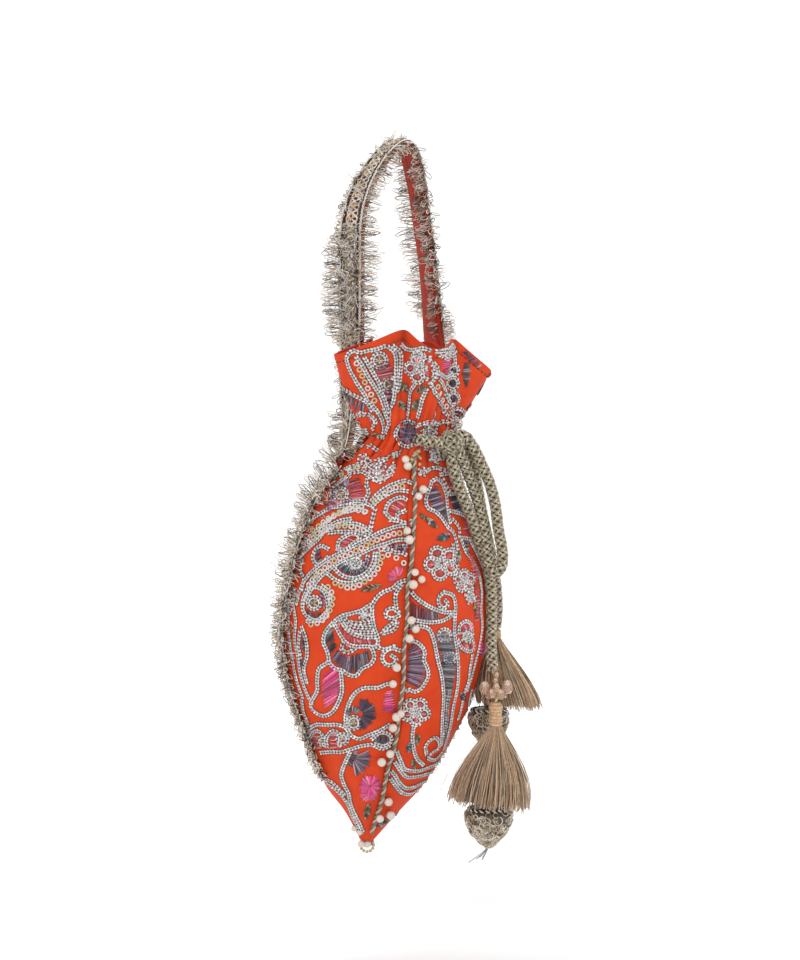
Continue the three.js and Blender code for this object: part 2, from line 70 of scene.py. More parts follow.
bpy.ops.object.select_all(action="DESELECT")
bpy.ops.mesh.primitive_circle_add(
    vertices=96, radius=FLOOR_RADIUS, fill_type="NGON", location=(0, 0, FLOOR_Z),
)
floor = bpy.context.object
floor.name = "studio_floor"
bpy.ops.object.mode_set(mode="EDIT")
bpy.ops.mesh.select_all(action="SELECT")
bpy.ops.mesh.inset(thickness=RIM_INSET, use_boundary=True)
bpy.ops.mesh.select_all(action="DESELECT")
bpy.ops.mesh.select_mode(type="EDGE")
bpy.ops.object.mode_set(mode="OBJECT")
for edge in floor.data.edges:
    ends = [floor.data.vertices[i].co.xy.length for i in edge.vertices]
    edge.select = min(ends) > FLOOR_RADIUS - RIM_INSET / 2
bpy.ops.object.mode_set(mode="EDIT")
for step in range(1, RIM_STEPS + 1):
    lean = math.radians(90) * step / RIM_STEPS
    grow = 1 + RIM_GROWTH * math.cos(lean)
    rise = FLOOR_RIM / RIM_STEPS * math.sin(lean)
    bpy.ops.mesh.extrude_region_move(TRANSFORM_OT_translate={"value": (0, 0, rise)})
    bpy.ops.transform.resize(value=(grow, grow, 1), center_override=(0, 0, 0))
bpy.ops.object.mode_set(mode="OBJECT")
bpy.ops.object.shade_smooth()
bpy.ops.object.transform_apply(location=True, rotation=True, scale=True)
paper = bpy.data.materials.new("studio_paper")
paper.use_nodes = True
set_inputs(paper.node_tree.nodes["Principled BSDF"], {"Base Color": PAPER_WHITE, "Roughness": 0.9})
floor.data.materials.append(paper)

scene = bpy.context.scene
scene.view_settings.view_transform = "Standard"
sky = bpy.data.worlds.new("studio_sky")
sky.use_nodes = True
set_inputs(sky.node_tree.nodes["Background"], {"Color": (1, 1, 1, 1), "Strength": SKY_STRENGTH})
scene.world = sky


def look_from(thing, place, target):
    """Puts a light or camera at a place, facing a target."""
    thing.location = place
    facing = Vector([float(t - p) for t, p in zip(target, place)])
    thing.rotation_euler = facing.to_track_quat("-Z", "Y").to_euler()


def softbox(name, place, target, size, watts):
    light = bpy.data.lights.new(name, "AREA")
    light.size = size
    light.energy = watts
    lamp = bpy.data.objects.new(name, light)
    scene.collection.objects.link(lamp)
    look_from(lamp, [float(x) for x in place], target)


for light_name, (place, size, watts) in LIGHTS.items():
    softbox(light_name, VIEW_TARGET + place, VIEW_TARGET, size, watts)
softbox("backdrop_light", *BACKDROP_LIGHT)

view_right = np.array((math.cos(VIEW_AZIMUTH), math.sin(VIEW_AZIMUTH), 0))
view_back = np.array((
    math.sin(VIEW_AZIMUTH) * math.cos(VIEW_ELEVATION),
    -math.cos(VIEW_AZIMUTH) * math.cos(VIEW_ELEVATION),
    math.sin(VIEW_ELEVATION),
))
view_eye = VIEW_TARGET + VIEW_DISTANCE * view_back
camera = bpy.data.objects.new("camera", bpy.data.cameras.new("camera"))
camera.data.lens = LENS_MM
scene.collection.objects.link(camera)
look_from(camera, view_eye, VIEW_TARGET)
scene.camera = camera

# Silk gores: four leaf-shaped panels of orange-red silk, sewn edge to edge from the bottom tip to
# the frilled mouth and drawn in at the neck. Each is a thin wall over the same rounded form.
WALL = 1.3
TIP_Z = -346
NECK_Z = -142
BODY_SHARE = 0.7
SECTIONS = np.array([  # height, half width, half depth, axis x, axis y
    (-346, 2.9, 2.6, -17.9, -1.6),
    (-331, 13.8, 10.0, -15.4, -2.9),
    (-317, 25.2, 17.6, -14.2, -3.8),
    (-285, 41.0, 28.6, -11.2, -6.0),
    (-258, 49.4, 34.4, -11.2, -7.9),
    (-236, 51.5, 36.0, -10.8, -9.1),
    (-205, 47.8, 34.2, -10.0, -11.5),
    (-176, 38.2, 29.0, -9.9, -13.6),
    (-155, 27.6, 23.4, -6.6, -16.8),
    (-142, 21.0, 20.5, -3.0, -19.0),
])
RIM_AXIS = (-0.5, -20.9)
RIM = np.array([  # degrees from the front, radius, height, power: the lower, the fuller a lobe stands out
    (0, 34, -99, 0.85),
    (40, 24, -95, 0.85),
    (80, 38.5, -111, 0.85),
    (134, 20, -97, 0.85),
    (190, 35, -101, 0.85),
    (251, 20, -95, 0.85),
    (278, 41, -102, 0.52),
    (330, 21, -90, 0.85),
])
RIM_ROUND = np.concatenate([RIM + (turn, 0, 0, 0) for turn in (-360, 0, 360)])
SEAMS = {"front": 0.0, "right": 122.0, "back": 189.0, "left": 256.0}
GORES = {  # first seam, last seam, pleats at the neck
    "panel_front_right": (0.0, 122.0, 3),
    "panel_back_right": (122.0, 189.0, 2),
    "panel_back_left": (189.0, 256.0, 2),
    "panel_front_left": (256.0, 360.0, 3),
}
PLEAT_DEPTH = 0.16
PLEAT_FADE = 16
FINE_PLEATS = 3
FINE_DEPTH = 0.1
SEAM_TUCK = 0.7
TUCK_WIDTH = 2.2
TUCK_FADE = 40
SLACK = 0.35
SLACK_FADE = 60
SLACK_WAVES = ((0.11, 0.09, 0), (0.052, -0.13, 1.3))  # by height, by angle, start
HEM_ROW = 0.976  # the rim's hem is folded out from here up
HEM_STEP = 0.005
HEM_OUT = 0.45
HEM_ROWS = 4
LEAST_RADIUS = 8
ANGLE_STEP = 0.4
ROW_STEP = 0.003
COLUMNS_PER_DEGREE = 0.52
GORE_ROWS = 130
SEAM_GAP = 0.02
CLOTH_METRES = (0.045, 0.27)  # radius and height that the weave's UV is laid out for
# Painted shade in the silk's folds, from how deep the cloth lies below the cloth round it.
FOLD_PAINTED_SHADE = 0.5  # how much darker the silk is for each millimetre that it lies in a fold
FOLD_PAINTED_DARKEST = 0.3
FOLD_AROUND = ((-5, 0), (5, 0), (-10, 0), (10, 0), (0, -0.02), (0, 0.02))  # degrees and rows away
WEAVE_THREADS = 520


def smooth_columns(table, at):
    """Reads the columns of a table on smooth curves through its rows, which ascend in the first column."""
    keys = table[:, 0]
    near = np.r_[0, np.arange(len(keys) - 1)]
    far = np.r_[np.arange(1, len(keys)), len(keys) - 1]
    i = np.clip(np.searchsorted(keys, at, side="right") - 1, 0, len(keys) - 2)
    span = keys[i + 1] - keys[i]
    t = np.clip((at - keys[i]) / span, 0, 1)
    ease = t * t * (3 - 2 * t)
    columns = []
    for values in table.T[1:]:
        slopes = (values[far] - values[near]) / (keys[far] - keys[near])
        bend = t * (1 - t) * span * ((1 - t) * slopes[i] - t * slopes[i + 1])
        columns.append(values[i] + ease * (values[i + 1] - values[i]) + bend)
    return columns


def gore_share(angle):
    """Where an angle lies across its own gore, 0 to 1, with that gore's pleats and width in degrees."""
    turned = np.mod(angle, 360)
    share, pleats, width = np.zeros_like(turned), np.ones_like(turned), np.ones_like(turned)
    for first, last, count in GORES.values():
        inside = (turned >= first) & (turned < last)
        share = np.where(inside, (turned - first) / (last - first), share)
        pleats = np.where(inside, count, pleats)
        width = np.where(inside, last - first, width)
    return share, pleats, width


def cloth_point(angle, row):
    """Middle of the cloth in millimetres: degrees round from the front, row 0 at the tip to 1 at the rim."""
    angle, row = np.broadcast_arrays(np.asarray(angle, float), np.asarray(row, float))
    sine, cosine = np.sin(np.radians(angle)), np.cos(np.radians(angle))
    z = np.minimum(TIP_Z + (NECK_Z - TIP_Z) * row / BODY_SHARE, NECK_Z)
    half_width, half_depth, axis_x, axis_y = smooth_columns(SECTIONS, z)
    rise = np.clip((row - BODY_SHARE) / (1 - BODY_SHARE), 0, 1)
    rim_radius, rim_z, rim_power = smooth_columns(RIM_ROUND, np.mod(angle, 360))
    share, pleats, width = gore_share(angle)
    below = np.exp(-((z - NECK_Z) / PLEAT_FADE) ** 2)
    gather = PLEAT_DEPTH * below * (1 - rise) ** 2
    fold = 0.5 - 0.5 * np.cos(2 * np.pi * pleats * share)
    fine = 0.5 - 0.5 * np.cos(2 * np.pi * pleats * FINE_PLEATS * share)
    narrow = 1 - gather * fold - FINE_DEPTH * below * (1 - rise) ** 2 * fine ** 3
    flare = rise ** rim_power
    radius_x = half_width + (rim_radius - half_width) * flare
    radius_y = half_depth + (rim_radius - half_depth) * flare
    from_seam = np.minimum(share, 1 - share) * width * np.radians(1) * radius_x
    tuck = SEAM_TUCK * np.exp(-(from_seam / TUCK_WIDTH) ** 2) * np.clip((z - TIP_Z) / TUCK_FADE, 0, 1)
    slack = SLACK
    for by_height, by_angle, start in SLACK_WAVES:
        slack = slack * np.sin(by_height * z + by_angle * angle + start)
    slack = slack * np.clip((z - TIP_Z) / SLACK_FADE, 0, 1)
    hem = HEM_OUT * np.clip((row - HEM_ROW) / HEM_STEP, 0, 1)
    out = narrow + (slack - tuck + hem) / np.maximum(radius_x, LEAST_RADIUS)
    return np.stack((
        axis_x + (RIM_AXIS[0] - axis_x) * rise + radius_x * out * sine,
        axis_y + (RIM_AXIS[1] - axis_y) * rise - radius_y * out * cosine,
        z + (rim_z - NECK_Z) * rise,
    ), axis=-1)


def unit(vectors):
    return vectors / np.maximum(np.linalg.norm(vectors, axis=-1, keepdims=True), 1e-12)


def cloth_frame(angle, row):
    """Point, steps round and up the cloth, and outward normal, in millimetres."""
    angle, row = np.broadcast_arrays(np.asarray(angle, float), np.asarray(row, float))
    round_step = cloth_point(angle + ANGLE_STEP, row) - cloth_point(angle - ANGLE_STEP, row)
    above, below = np.minimum(row + ROW_STEP, 1), np.maximum(row - ROW_STEP, 0)
    up_step = cloth_point(angle, above) - cloth_point(angle, below)
    outward = unit(np.cross(round_step, up_step))
    return cloth_point(angle, row), unit(round_step), unit(up_step), outward


def painted_fold_shade(angle, row):
    """Painted shade of the cloth, as a grey: darker where it lies deeper than the cloth round it."""
    point, step, up, outward = cloth_frame(angle, row)
    around = [cloth_point(angle + turn, np.clip(row + lift, 0, 1)) for turn, lift in FOLD_AROUND]
    depth = ((np.mean(around, axis=0) - point) * outward).sum(axis=-1)
    return np.repeat(np.clip(1 - FOLD_PAINTED_SHADE * depth, FOLD_PAINTED_DARKEST, 1)[:, None], 3, axis=1)


def row_at(z):
    """The row of a height on the body of the pouch."""
    return BODY_SHARE * (np.asarray(z, float) - TIP_Z) / (NECK_Z - TIP_Z)


def mesh_piece(name, material, points_mm, faces, colours=None, uvs=None):
    """A finished piece from arrays: corners in millimetres, faces all of one size, UVs per corner.

    colours may be one for the piece or one per corner.
    """
    points, faces = np.asarray(points_mm, float) * MM, np.asarray(faces, np.int32)
    mesh = bpy.data.meshes.new(name)
    mesh.vertices.add(len(points))
    mesh.vertices.foreach_set("co", points.astype(np.float32).ravel())
    mesh.loops.add(faces.size)
    mesh.loops.foreach_set("vertex_index", faces.ravel())
    mesh.polygons.add(len(faces))
    mesh.polygons.foreach_set("loop_start", np.arange(0, faces.size, faces.shape[1], dtype=np.int32))
    mesh.polygons.foreach_set("use_smooth", np.ones(len(faces), bool))
    mesh.update(calc_edges=True)
    if colours is not None:
        thread = mesh.color_attributes.new("thread", "FLOAT_COLOR", "POINT")
        rgba = np.concatenate((np.broadcast_to(colours, points.shape), np.ones((len(points), 1))), axis=1)
        thread.data.foreach_set("color", rgba.astype(np.float32).ravel())
    if uvs is not None:
        layer = mesh.uv_layers.new(name="UVMap")
        layer.data.foreach_set("uv", np.asarray(uvs, np.float32)[faces.ravel()].ravel())
    mesh.materials.append(material)
    piece = bpy.data.objects.new(name, mesh)
    scene.collection.objects.link(piece)
    return piece


def apply_modifier(piece, kind, **settings):
    """Adds one modifier with these settings and applies it."""
    bpy.ops.object.select_all(action="DESELECT")
    bpy.context.view_layer.objects.active = piece
    piece.select_set(True)
    modifier = piece.modifiers.new(kind.lower(), kind)
    for key, value in settings.items():
        setattr(modifier, key, value)
    bpy.ops.object.modifier_apply(modifier=modifier.name)


def new_material(name):
    """A node material, with its tree's node maker and links, and its Principled shader."""
    material = bpy.data.materials.new(name)
    material.use_nodes = True
    tree = material.node_tree
    return material, tree.nodes.new, tree.links.new, tree.nodes["Principled BSDF"]


def weave_group():
    """Shader group: a plain weave on a surface's UV, as a height and a thread-to-thread tint."""
    tree = bpy.data.node_groups.new("plain_weave", "ShaderNodeTree")
    for socket, way, kind in (("Vector", "INPUT", "Vector"), ("Threads", "INPUT", "Float"),
                              ("Height", "OUTPUT", "Float"), ("Tint", "OUTPUT", "Float")):
        tree.interface.new_socket(socket, in_out=way, socket_type=f"NodeSocket{kind}")
    node, link = tree.nodes.new, tree.links.new
    ends, out = node("NodeGroupInput"), node("NodeGroupOutput")
    weave = node("ShaderNodeMath")
    weave.operation = "MAXIMUM"
    for i, direction in enumerate(("X", "Y")):
        wave = node("ShaderNodeTexWave")
        wave.bands_direction = direction
        set_inputs(wave, {"Distortion": 1.2, "Detail": 1})
        link(ends.outputs["Vector"], wave.inputs["Vector"])
        link(ends.outputs["Threads"], wave.inputs["Scale"])
        link(wave.outputs["Fac"], weave.inputs[i])
    slub = node("ShaderNodeTexNoise")
    set_inputs(slub, {"Scale": 90, "Detail": 4})
    link(ends.outputs["Vector"], slub.inputs["Vector"])
    link(weave.outputs[0], out.inputs["Height"])
    link(slub.outputs["Fac"], out.inputs["Tint"])
    return tree


PLAIN_WEAVE = weave_group()


def silk_material(name, deep, bright, roughness, folded=False):
    """Woven silk: two close shades that drift over the cloth, a fine weave, a soft sheen, and painted shade
    in folds.
    """
    material, node, link, shader = new_material(name)
    place = node("ShaderNodeUVMap")
    place.uv_map = "UVMap"
    weave = node("ShaderNodeGroup")
    weave.node_tree = PLAIN_WEAVE
    weave.inputs["Threads"].default_value = WEAVE_THREADS
    link(place.outputs["UV"], weave.inputs["Vector"])
    shades = node("ShaderNodeValToRGB")
    for stop, position, colour in zip(shades.color_ramp.elements, (0.3, 0.7), (deep, bright)):
        stop.position = position
        stop.color = (*colour, 1)
    link(weave.outputs["Tint"], shades.inputs["Fac"])
    link(shades.outputs["Color"], shader.inputs["Base Color"])
    # Painted shade: the colour is darkened where the cloth lies in a fold, by the grey in the 'thread'
    # attribute.
    if folded:
        depth = node("ShaderNodeVertexColor")
        depth.layer_name = "thread"
        darker = node("ShaderNodeVectorMath")
        darker.operation = "MULTIPLY"
        link(shades.outputs["Color"], darker.inputs[0])
        link(depth.outputs["Color"], darker.inputs[1])
        link(darker.outputs["Vector"], shader.inputs["Base Color"])
    bump = node("ShaderNodeBump")
    set_inputs(bump, {"Strength": 0.25, "Distance": 0.0002})
    link(weave.outputs["Height"], bump.inputs["Height"])
    link(bump.outputs["Normal"], shader.inputs["Normal"])
    set_inputs(shader, {
        "Roughness": roughness, "Specular IOR Level": 0.18,
        "Sheen Weight": 0.08, "Sheen Roughness": 0.4, "Sheen Tint": (1.0, 0.4, 0.2, 1),
    })
    return material


# A darker silk for the inner face of each gore.
INNER_SILK = silk_material("inner_silk", (0.42, 0.022, 0.01), (0.52, 0.034, 0.014), 0.65)
SILK = silk_material("pouch_silk", (0.61, 0.046, 0.008), (0.71, 0.063, 0.011), 0.6, folded=True)


def grid_faces(columns, rows):
    """Quads of a grid of corners stored row by row."""
    first = np.arange(columns - 1)[None, :] + columns * np.arange(rows - 1)[:, None]
    first = first.ravel()
    return np.stack((first, first + 1, first + columns + 1, first + columns), axis=1)


for gore_name, (first, last, pleats) in GORES.items():
    columns = round((last - first) * COLUMNS_PER_DEGREE)
    across = np.linspace(0, 1, columns)
    up = np.r_[np.linspace(0, HEM_ROW, GORE_ROWS - HEM_ROWS), np.linspace(HEM_ROW + HEM_STEP, 1, HEM_ROWS)]
    row, share = np.meshgrid(up, across, indexing="ij")
    angle = first + SEAM_GAP + (last - first - 2 * SEAM_GAP) * share
    corners = cloth_point(angle, row).reshape(-1, 3)
    radius, height = CLOTH_METRES
    uvs = np.stack((share.ravel() * math.radians(last - first) * radius, row.ravel() * height), axis=1)
    # The gores carry painted fold shade as their 'thread' colour.
    shade = painted_fold_shade(angle.ravel(), row.ravel())
    faces = grid_faces(columns, GORE_ROWS)
    gore = mesh_piece(gore_name.replace("panel", "gore"), SILK, corners, faces, shade, uvs)
    gore.data.materials.append(INNER_SILK)
    apply_modifier(gore, "SOLIDIFY", thickness=WALL * MM, offset=0, use_even_offset=True, material_offset=1)
    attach(gore, "root")
    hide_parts(gore_name)

# Pearl seams: a two-ply gold cord couched over the front and the back seam, with pearls sewn beside
# it in ones, twos and threes, and a knot of small gold beads at its top.
SEAM_CORD_RADIUS = 1.2
SEAM_CORD_PITCH = 5.5
SEAM_CORD_ENDS = (-341, -150)
SEAM_CORD_LIFT = WALL / 2 + 0.3 + SEAM_CORD_RADIUS
PLY_OFFSET = 0.47  # of the cord's radius, as is the next
PLY_RADIUS = 0.55
PEARL_RADIUS = 2.1
PEARL_LIFT = WALL / 2 + 0.2 + PEARL_RADIUS
FRONT_PEARLS = [  # height, step to the right of the seam
    (-153, -5), (-156.3, -3.3), (-168.1, 6.5), (-171.4, 4), (-187.7, -1.4), (-192.1, -0.6), (-207.7, 1.9),
    (-211.2, 5.5), (-213.5, 1), (-230.7, 0.7), (-235.2, 3.4), (-239.5, 0), (-253.7, -5.4), (-261.7, -6.8),
    (-276.2, -2.1), (-278.2, -4), (-283.9, -4.8), (-297, -3.8), (-301.6, -6.8), (-322.9, 2.1), (-330.7, 5.5),
    (-331.2, -0.2),
]
BACK_PEARLS = [
    (-158, 2.5), (-162, -2), (-190, -2.5), (-214, 2.5), (-218, -1), (-245, 1), (-270, -2), (-296, 2),
    (-318, -2),
]
CORD_SWAY = np.array([  # height, step of the cord to the right of the seam
    (-341, -0.5), (-330, -1.2), (-310, -1.9), (-280, -1.9), (-260, -1.5), (-230, -1.3), (-210, -0.6),
    (-200, 0.6), (-185, 2.8), (-170, 2.7), (-160, 1.2), (-150, 0),
])
CORD_TAN = (0.5, 0.44, 0.35)
CORD_OLIVE = (0.22, 0.18, 0.125)
GOLD_BEADS = 16
BEAD_ENDS = (-149, -158)
BEAD_GOLD = (0.55, 0.43, 0.22)
rng = np.random.default_rng(11)


def smooth_path(points, count):
    """Evenly spaced points on a centripetal curve; columns after the third are carried along."""
    points = np.asarray(points, float)
    padded = np.concatenate((2 * points[:1] - points[1:2], points, 2 * points[-1:] - points[-2:-1]))
    share = np.linspace(0, 1, 24, endpoint=False)[:, None]
    dense = []
    for before, start, end, after in zip(padded, padded[1:], padded[2:], padded[3:]):
        spans = ((before, start), (start, end), (end, after))
        a, b, c = (math.sqrt(np.linalg.norm((q - p)[:3])) for p, q in spans)
        leave = ((start - before) / a - (end - before) / (a + b) + (end - start) / b) * b
        arrive = ((end - start) / b - (after - start) / (b + c) + (after - end) / c) * b
        square = 3 * (end - start) - 2 * leave - arrive
        cube = 2 * (start - end) + leave + arrive
        dense.append(start + leave * share + square * share ** 2 + cube * share ** 3)
    dense = np.concatenate((*dense, points[-1:]))
    reach = np.r_[0, np.cumsum(np.linalg.norm(np.diff(dense[:, :3], axis=0), axis=1))]
    at = np.linspace(0, reach[-1], count)
    return np.stack([np.interp(at, reach, column) for column in dense.T], axis=1)


def path_length(path):
    return float(np.linalg.norm(np.diff(path[:, :3], axis=0), axis=1).sum())


def path_frames(path):
    """Tangent and two side directions that turn as little as they can along a path."""
    along = unit(np.gradient(path, axis=0))
    side = np.zeros_like(along)
    start = (0, 0, 1) if abs(along[0][2]) < 0.8 else (1, 0, 0)
    side[0] = unit(np.cross(along[0], start))
    for i in range(1, len(path)):
        side[i] = unit(side[i - 1] - along[i] * np.dot(side[i - 1], along[i]))
    return along, side, np.cross(along, side)


def tubes(paths, radius, sides=4, facing=None):
    """Many capped threads as corners and triangles; paths are threads x steps x 3."""
    paths = np.asarray(paths, float)
    count, steps = paths.shape[:2]
    along = unit(np.gradient(paths, axis=1))
    if facing is None:
        whole = np.abs(unit(paths[:, -1] - paths[:, 0]))
        facing = np.where(whole[:, 2:] > 0.7, (1.0, 0.13, 0.0), (0.05, 0.0, 1.0))
    facing = np.asarray(facing, float).reshape(count, -1, 3)
    side = unit(np.cross(along, facing))
    other = np.cross(side, along)
    turn = 2 * np.pi * np.arange(sides) / sides
    radius = np.broadcast_to(np.asarray(radius, float), (count, steps))[:, :, None, None]
    ring = np.cos(turn)[:, None] * side[:, :, None] + np.sin(turn)[:, None] * other[:, :, None]
    corners = (paths[:, :, None] + radius * ring).reshape(-1, 3)
    first = (np.arange(count)[:, None, None] * steps + np.arange(steps - 1)[None, :, None]) * sides
    near = first + np.arange(sides)
    far = first + (np.arange(sides) + 1) % sides
    walls = [np.stack(three, axis=-1).reshape(-1, 3) for three in
             ((near, near + sides, far + sides), (near, far + sides, far))]
    start = (np.arange(count) * steps * sides)[:, None]
    end = start + (steps - 1) * sides
    caps = [start + (0, i, i + 1) for i in range(1, sides - 1)]
    caps += [end + (i + 1, i, 0) for i in range(1, sides - 1)]
    return corners, np.concatenate((*walls, *caps))


def joined(parts):
    """Joins (corners, faces, colours) parts; a colour may be one for the part or one per corner."""
    corners, faces, colours, start = [], [], [], 0
    for part_corners, part_faces, part_colours in parts:
        corners.append(part_corners)
        faces.append(part_faces + start)
        colours.append(np.broadcast_to(part_colours, part_corners.shape))
        start += len(part_corners)
    return np.concatenate(corners), np.concatenate(faces), np.concatenate(colours)


def shape_of(thing):
    """Takes a modelled object's triangles as arrays in its own units, and removes the object."""
    bpy.ops.object.mode_set(mode="EDIT")
    bpy.ops.mesh.select_all(action="SELECT")
    bpy.ops.mesh.quads_convert_to_tris()
    bpy.ops.object.mode_set(mode="OBJECT")
    mesh = thing.data
    corners = np.zeros(3 * len(mesh.vertices), np.float32)
    mesh.vertices.foreach_get("co", corners)
    faces = np.zeros(len(mesh.loops), np.int32)
    mesh.loops.foreach_get("vertex_index", faces)
    bpy.data.objects.remove(thing)
    return corners.reshape(-1, 3).astype(float), faces.reshape(-1, 3)


def copies(shape, places, sizes, axes=None):
    """Copies of one shape at places, of one size or one each, with optional x, y and z axes for each."""
    corners, faces = shape
    places, sizes = np.asarray(places, float), np.asarray(sizes, float).reshape(-1, 1, 1)
    if axes is None:
        axes = np.broadcast_to(np.eye(3), (len(places), 3, 3))
    placed = places[:, None] + sizes * np.einsum("vk,nkj->nvj", corners, axes)
    offsets = len(corners) * np.arange(len(places))[:, None, None]
    return placed.reshape(-1, 3), (faces[None] + offsets).reshape(-1, 3)


def thread_material(name, roughness, metallic, sheen, grain):
    """Thread coloured by its own attribute, with a fine fibre grain."""
    material, node, link, shader = new_material(name)
    colour = node("ShaderNodeVertexColor")
    colour.layer_name = "thread"
    place = node("ShaderNodeTexCoord")
    fibre = node("ShaderNodeTexNoise")
    set_inputs(fibre, {"Scale": grain, "Detail": 2})
    link(place.outputs["Object"], fibre.inputs["Vector"])
    shade = node("ShaderNodeMapRange")
    set_inputs(shade, {"From Min": 0.3, "From Max": 0.7, "To Min": 0.72, "To Max": 1.18})
    link(fibre.outputs["Fac"], shade.inputs["Value"])
    mixed = node("ShaderNodeVectorMath")
    mixed.operation = "SCALE"
    link(colour.outputs["Color"], mixed.inputs[0])
    link(shade.outputs["Result"], mixed.inputs["Scale"])
    link(mixed.outputs["Vector"], shader.inputs["Base Color"])
    set_inputs(shader, {"Roughness": roughness, "Metallic": metallic, "Sheen Weight": sheen})
    return material


GOLD_THREAD = thread_material("gold_thread", 0.42, 0.45, 0.0, 2600)
PEARL, pearl_node, pearl_link, pearl_shader = new_material("pearl_nacre")
nacre = pearl_node("ShaderNodeTexNoise")
nacre.inputs["Scale"].default_value = 160
nacre_place = pearl_node("ShaderNodeTexCoord")
pearl_link(nacre_place.outputs["Object"], nacre.inputs["Vector"])
nacre_shades = pearl_node("ShaderNodeValToRGB")
nacre_shades.color_ramp.elements[0].color = (0.56, 0.46, 0.36, 1)
nacre_shades.color_ramp.elements[1].color = (0.8, 0.74, 0.67, 1)
pearl_link(nacre.outputs["Fac"], nacre_shades.inputs["Fac"])
pearl_link(nacre_shades.outputs["Color"], pearl_shader.inputs["Base Color"])
set_inputs(pearl_shader, {
    "Roughness": 0.16, "Coat Weight": 0.4, "Coat Roughness": 0.08,
    "Subsurface Weight": 0.15, "Subsurface Radius": (0.002, 0.0015, 0.001),
})

bpy.ops.object.select_all(action="DESELECT")
bpy.ops.mesh.primitive_uv_sphere_add(segments=20, ring_count=12, radius=1)
PEARL_SHAPE = shape_of(bpy.context.object)
bpy.ops.mesh.primitive_uv_sphere_add(segments=8, ring_count=6, radius=1)
BEAD_SHAPE = shape_of(bpy.context.object)


def two_ply(path, radius, pitch, colours):
    """Two threads laid round each other along a path."""
    along, side, other = path_frames(path)
    turn = 2 * np.pi * np.linspace(0, path_length(path) / pitch, len(path))[:, None]
    parts = []
    for half, colour in zip((0, np.pi), colours):
        ply = path + PLY_OFFSET * radius * (np.cos(turn + half) * side + np.sin(turn + half) * other)
        facing = side[None] * 0.3 + other[None]
        parts.append((*tubes(ply[None], PLY_RADIUS * radius, 6, facing), colour))
    return parts


for seam_name, pearls in (("front", FRONT_PEARLS), ("back", BACK_PEARLS)):
    seam = SEAMS[seam_name]
    heights = np.linspace(*SEAM_CORD_ENDS, 300)
    point, step, up, outward = cloth_frame(seam, row_at(heights))
    sway = smooth_columns(CORD_SWAY, heights)[0] + 0.35 * np.sin(0.21 * heights)
    cord_path = point + outward * SEAM_CORD_LIFT + step * sway[:, None]
    plies = two_ply(cord_path, SEAM_CORD_RADIUS, SEAM_CORD_PITCH, (CORD_TAN, CORD_OLIVE))
    cord = mesh_piece(f"seam_cord_{seam_name}", GOLD_THREAD, *joined(plies))
    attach(cord, "root")
    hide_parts(f"pearl_seam_{seam_name}")
    heights, beside = np.array(pearls, float).T
    point, step, up, outward = cloth_frame(seam, row_at(heights))
    over_cord = 1.8 * np.exp(-((beside - smooth_columns(CORD_SWAY, heights)[0]) / 2.4) ** 2)
    places = point + outward * (PEARL_LIFT + over_cord)[:, None] + step * beside[:, None]
    sizes = PEARL_RADIUS * rng.uniform(0.88, 1.08, len(places))
    strung = mesh_piece(f"seam_pearls_{seam_name}", PEARL, *copies(PEARL_SHAPE, places, sizes))
    point, step, up, outward = cloth_frame(seam, row_at(np.linspace(*BEAD_ENDS, GOLD_BEADS)))
    spread = rng.uniform(-2.4, 3.2, GOLD_BEADS)[:, None]
    places = point + step * spread + outward * rng.uniform(1.4, 3.6, GOLD_BEADS)[:, None]
    beads = copies(BEAD_SHAPE, places, rng.uniform(0.75, 1.1, GOLD_BEADS))
    beaded = mesh_piece(f"seam_beads_{seam_name}", GOLD_THREAD, *beads, BEAD_GOLD)
    for piece in (strung, beaded):
        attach(piece, "root")

# Tip cluster: a pearl with two beside it under the lowest point and two above it on the cloth, in a ring
# of small gold beads that faces the front.
TIP = np.array((-17.9, -1.6, -348.4))
TIP_PEARLS = np.array([  # step from the tip, size
    (0, 0, 0, 1), (-3.2, -0.6, 0.1, 0.9), (2.6, 1.8, 0.1, 0.9),
    (-7.5, -2.6, 8.5, 0.75), (-5.2, -3.6, 6.5, 0.7),
])
TIP_BEADS = 12
TIP_BEAD_RADIUS = 0.85
TIP_RING_RADIUS = 3.3
TIP_RING_DROP = (0, 0, -0.8)
tip_places, tip_sizes = TIP + TIP_PEARLS[:, :3], PEARL_RADIUS * TIP_PEARLS[:, 3]
tip_pearls = mesh_piece("tip_pearls", PEARL, *copies(PEARL_SHAPE, tip_places, tip_sizes))
ring_turn = np.linspace(0, 2 * np.pi, TIP_BEADS, endpoint=False)[:, None]
ring_rays = np.cos(ring_turn) * view_right + np.sin(ring_turn) * (0, 0, 1)
ring_places = TIP + TIP_RING_DROP + TIP_RING_RADIUS * ring_rays
tip_ring = mesh_piece("tip_ring", GOLD_THREAD, *copies(BEAD_SHAPE, ring_places, TIP_BEAD_RADIUS), BEAD_GOLD)
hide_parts("tip_cluster")
for piece in (tip_pearls, tip_ring):
    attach(piece, "root")

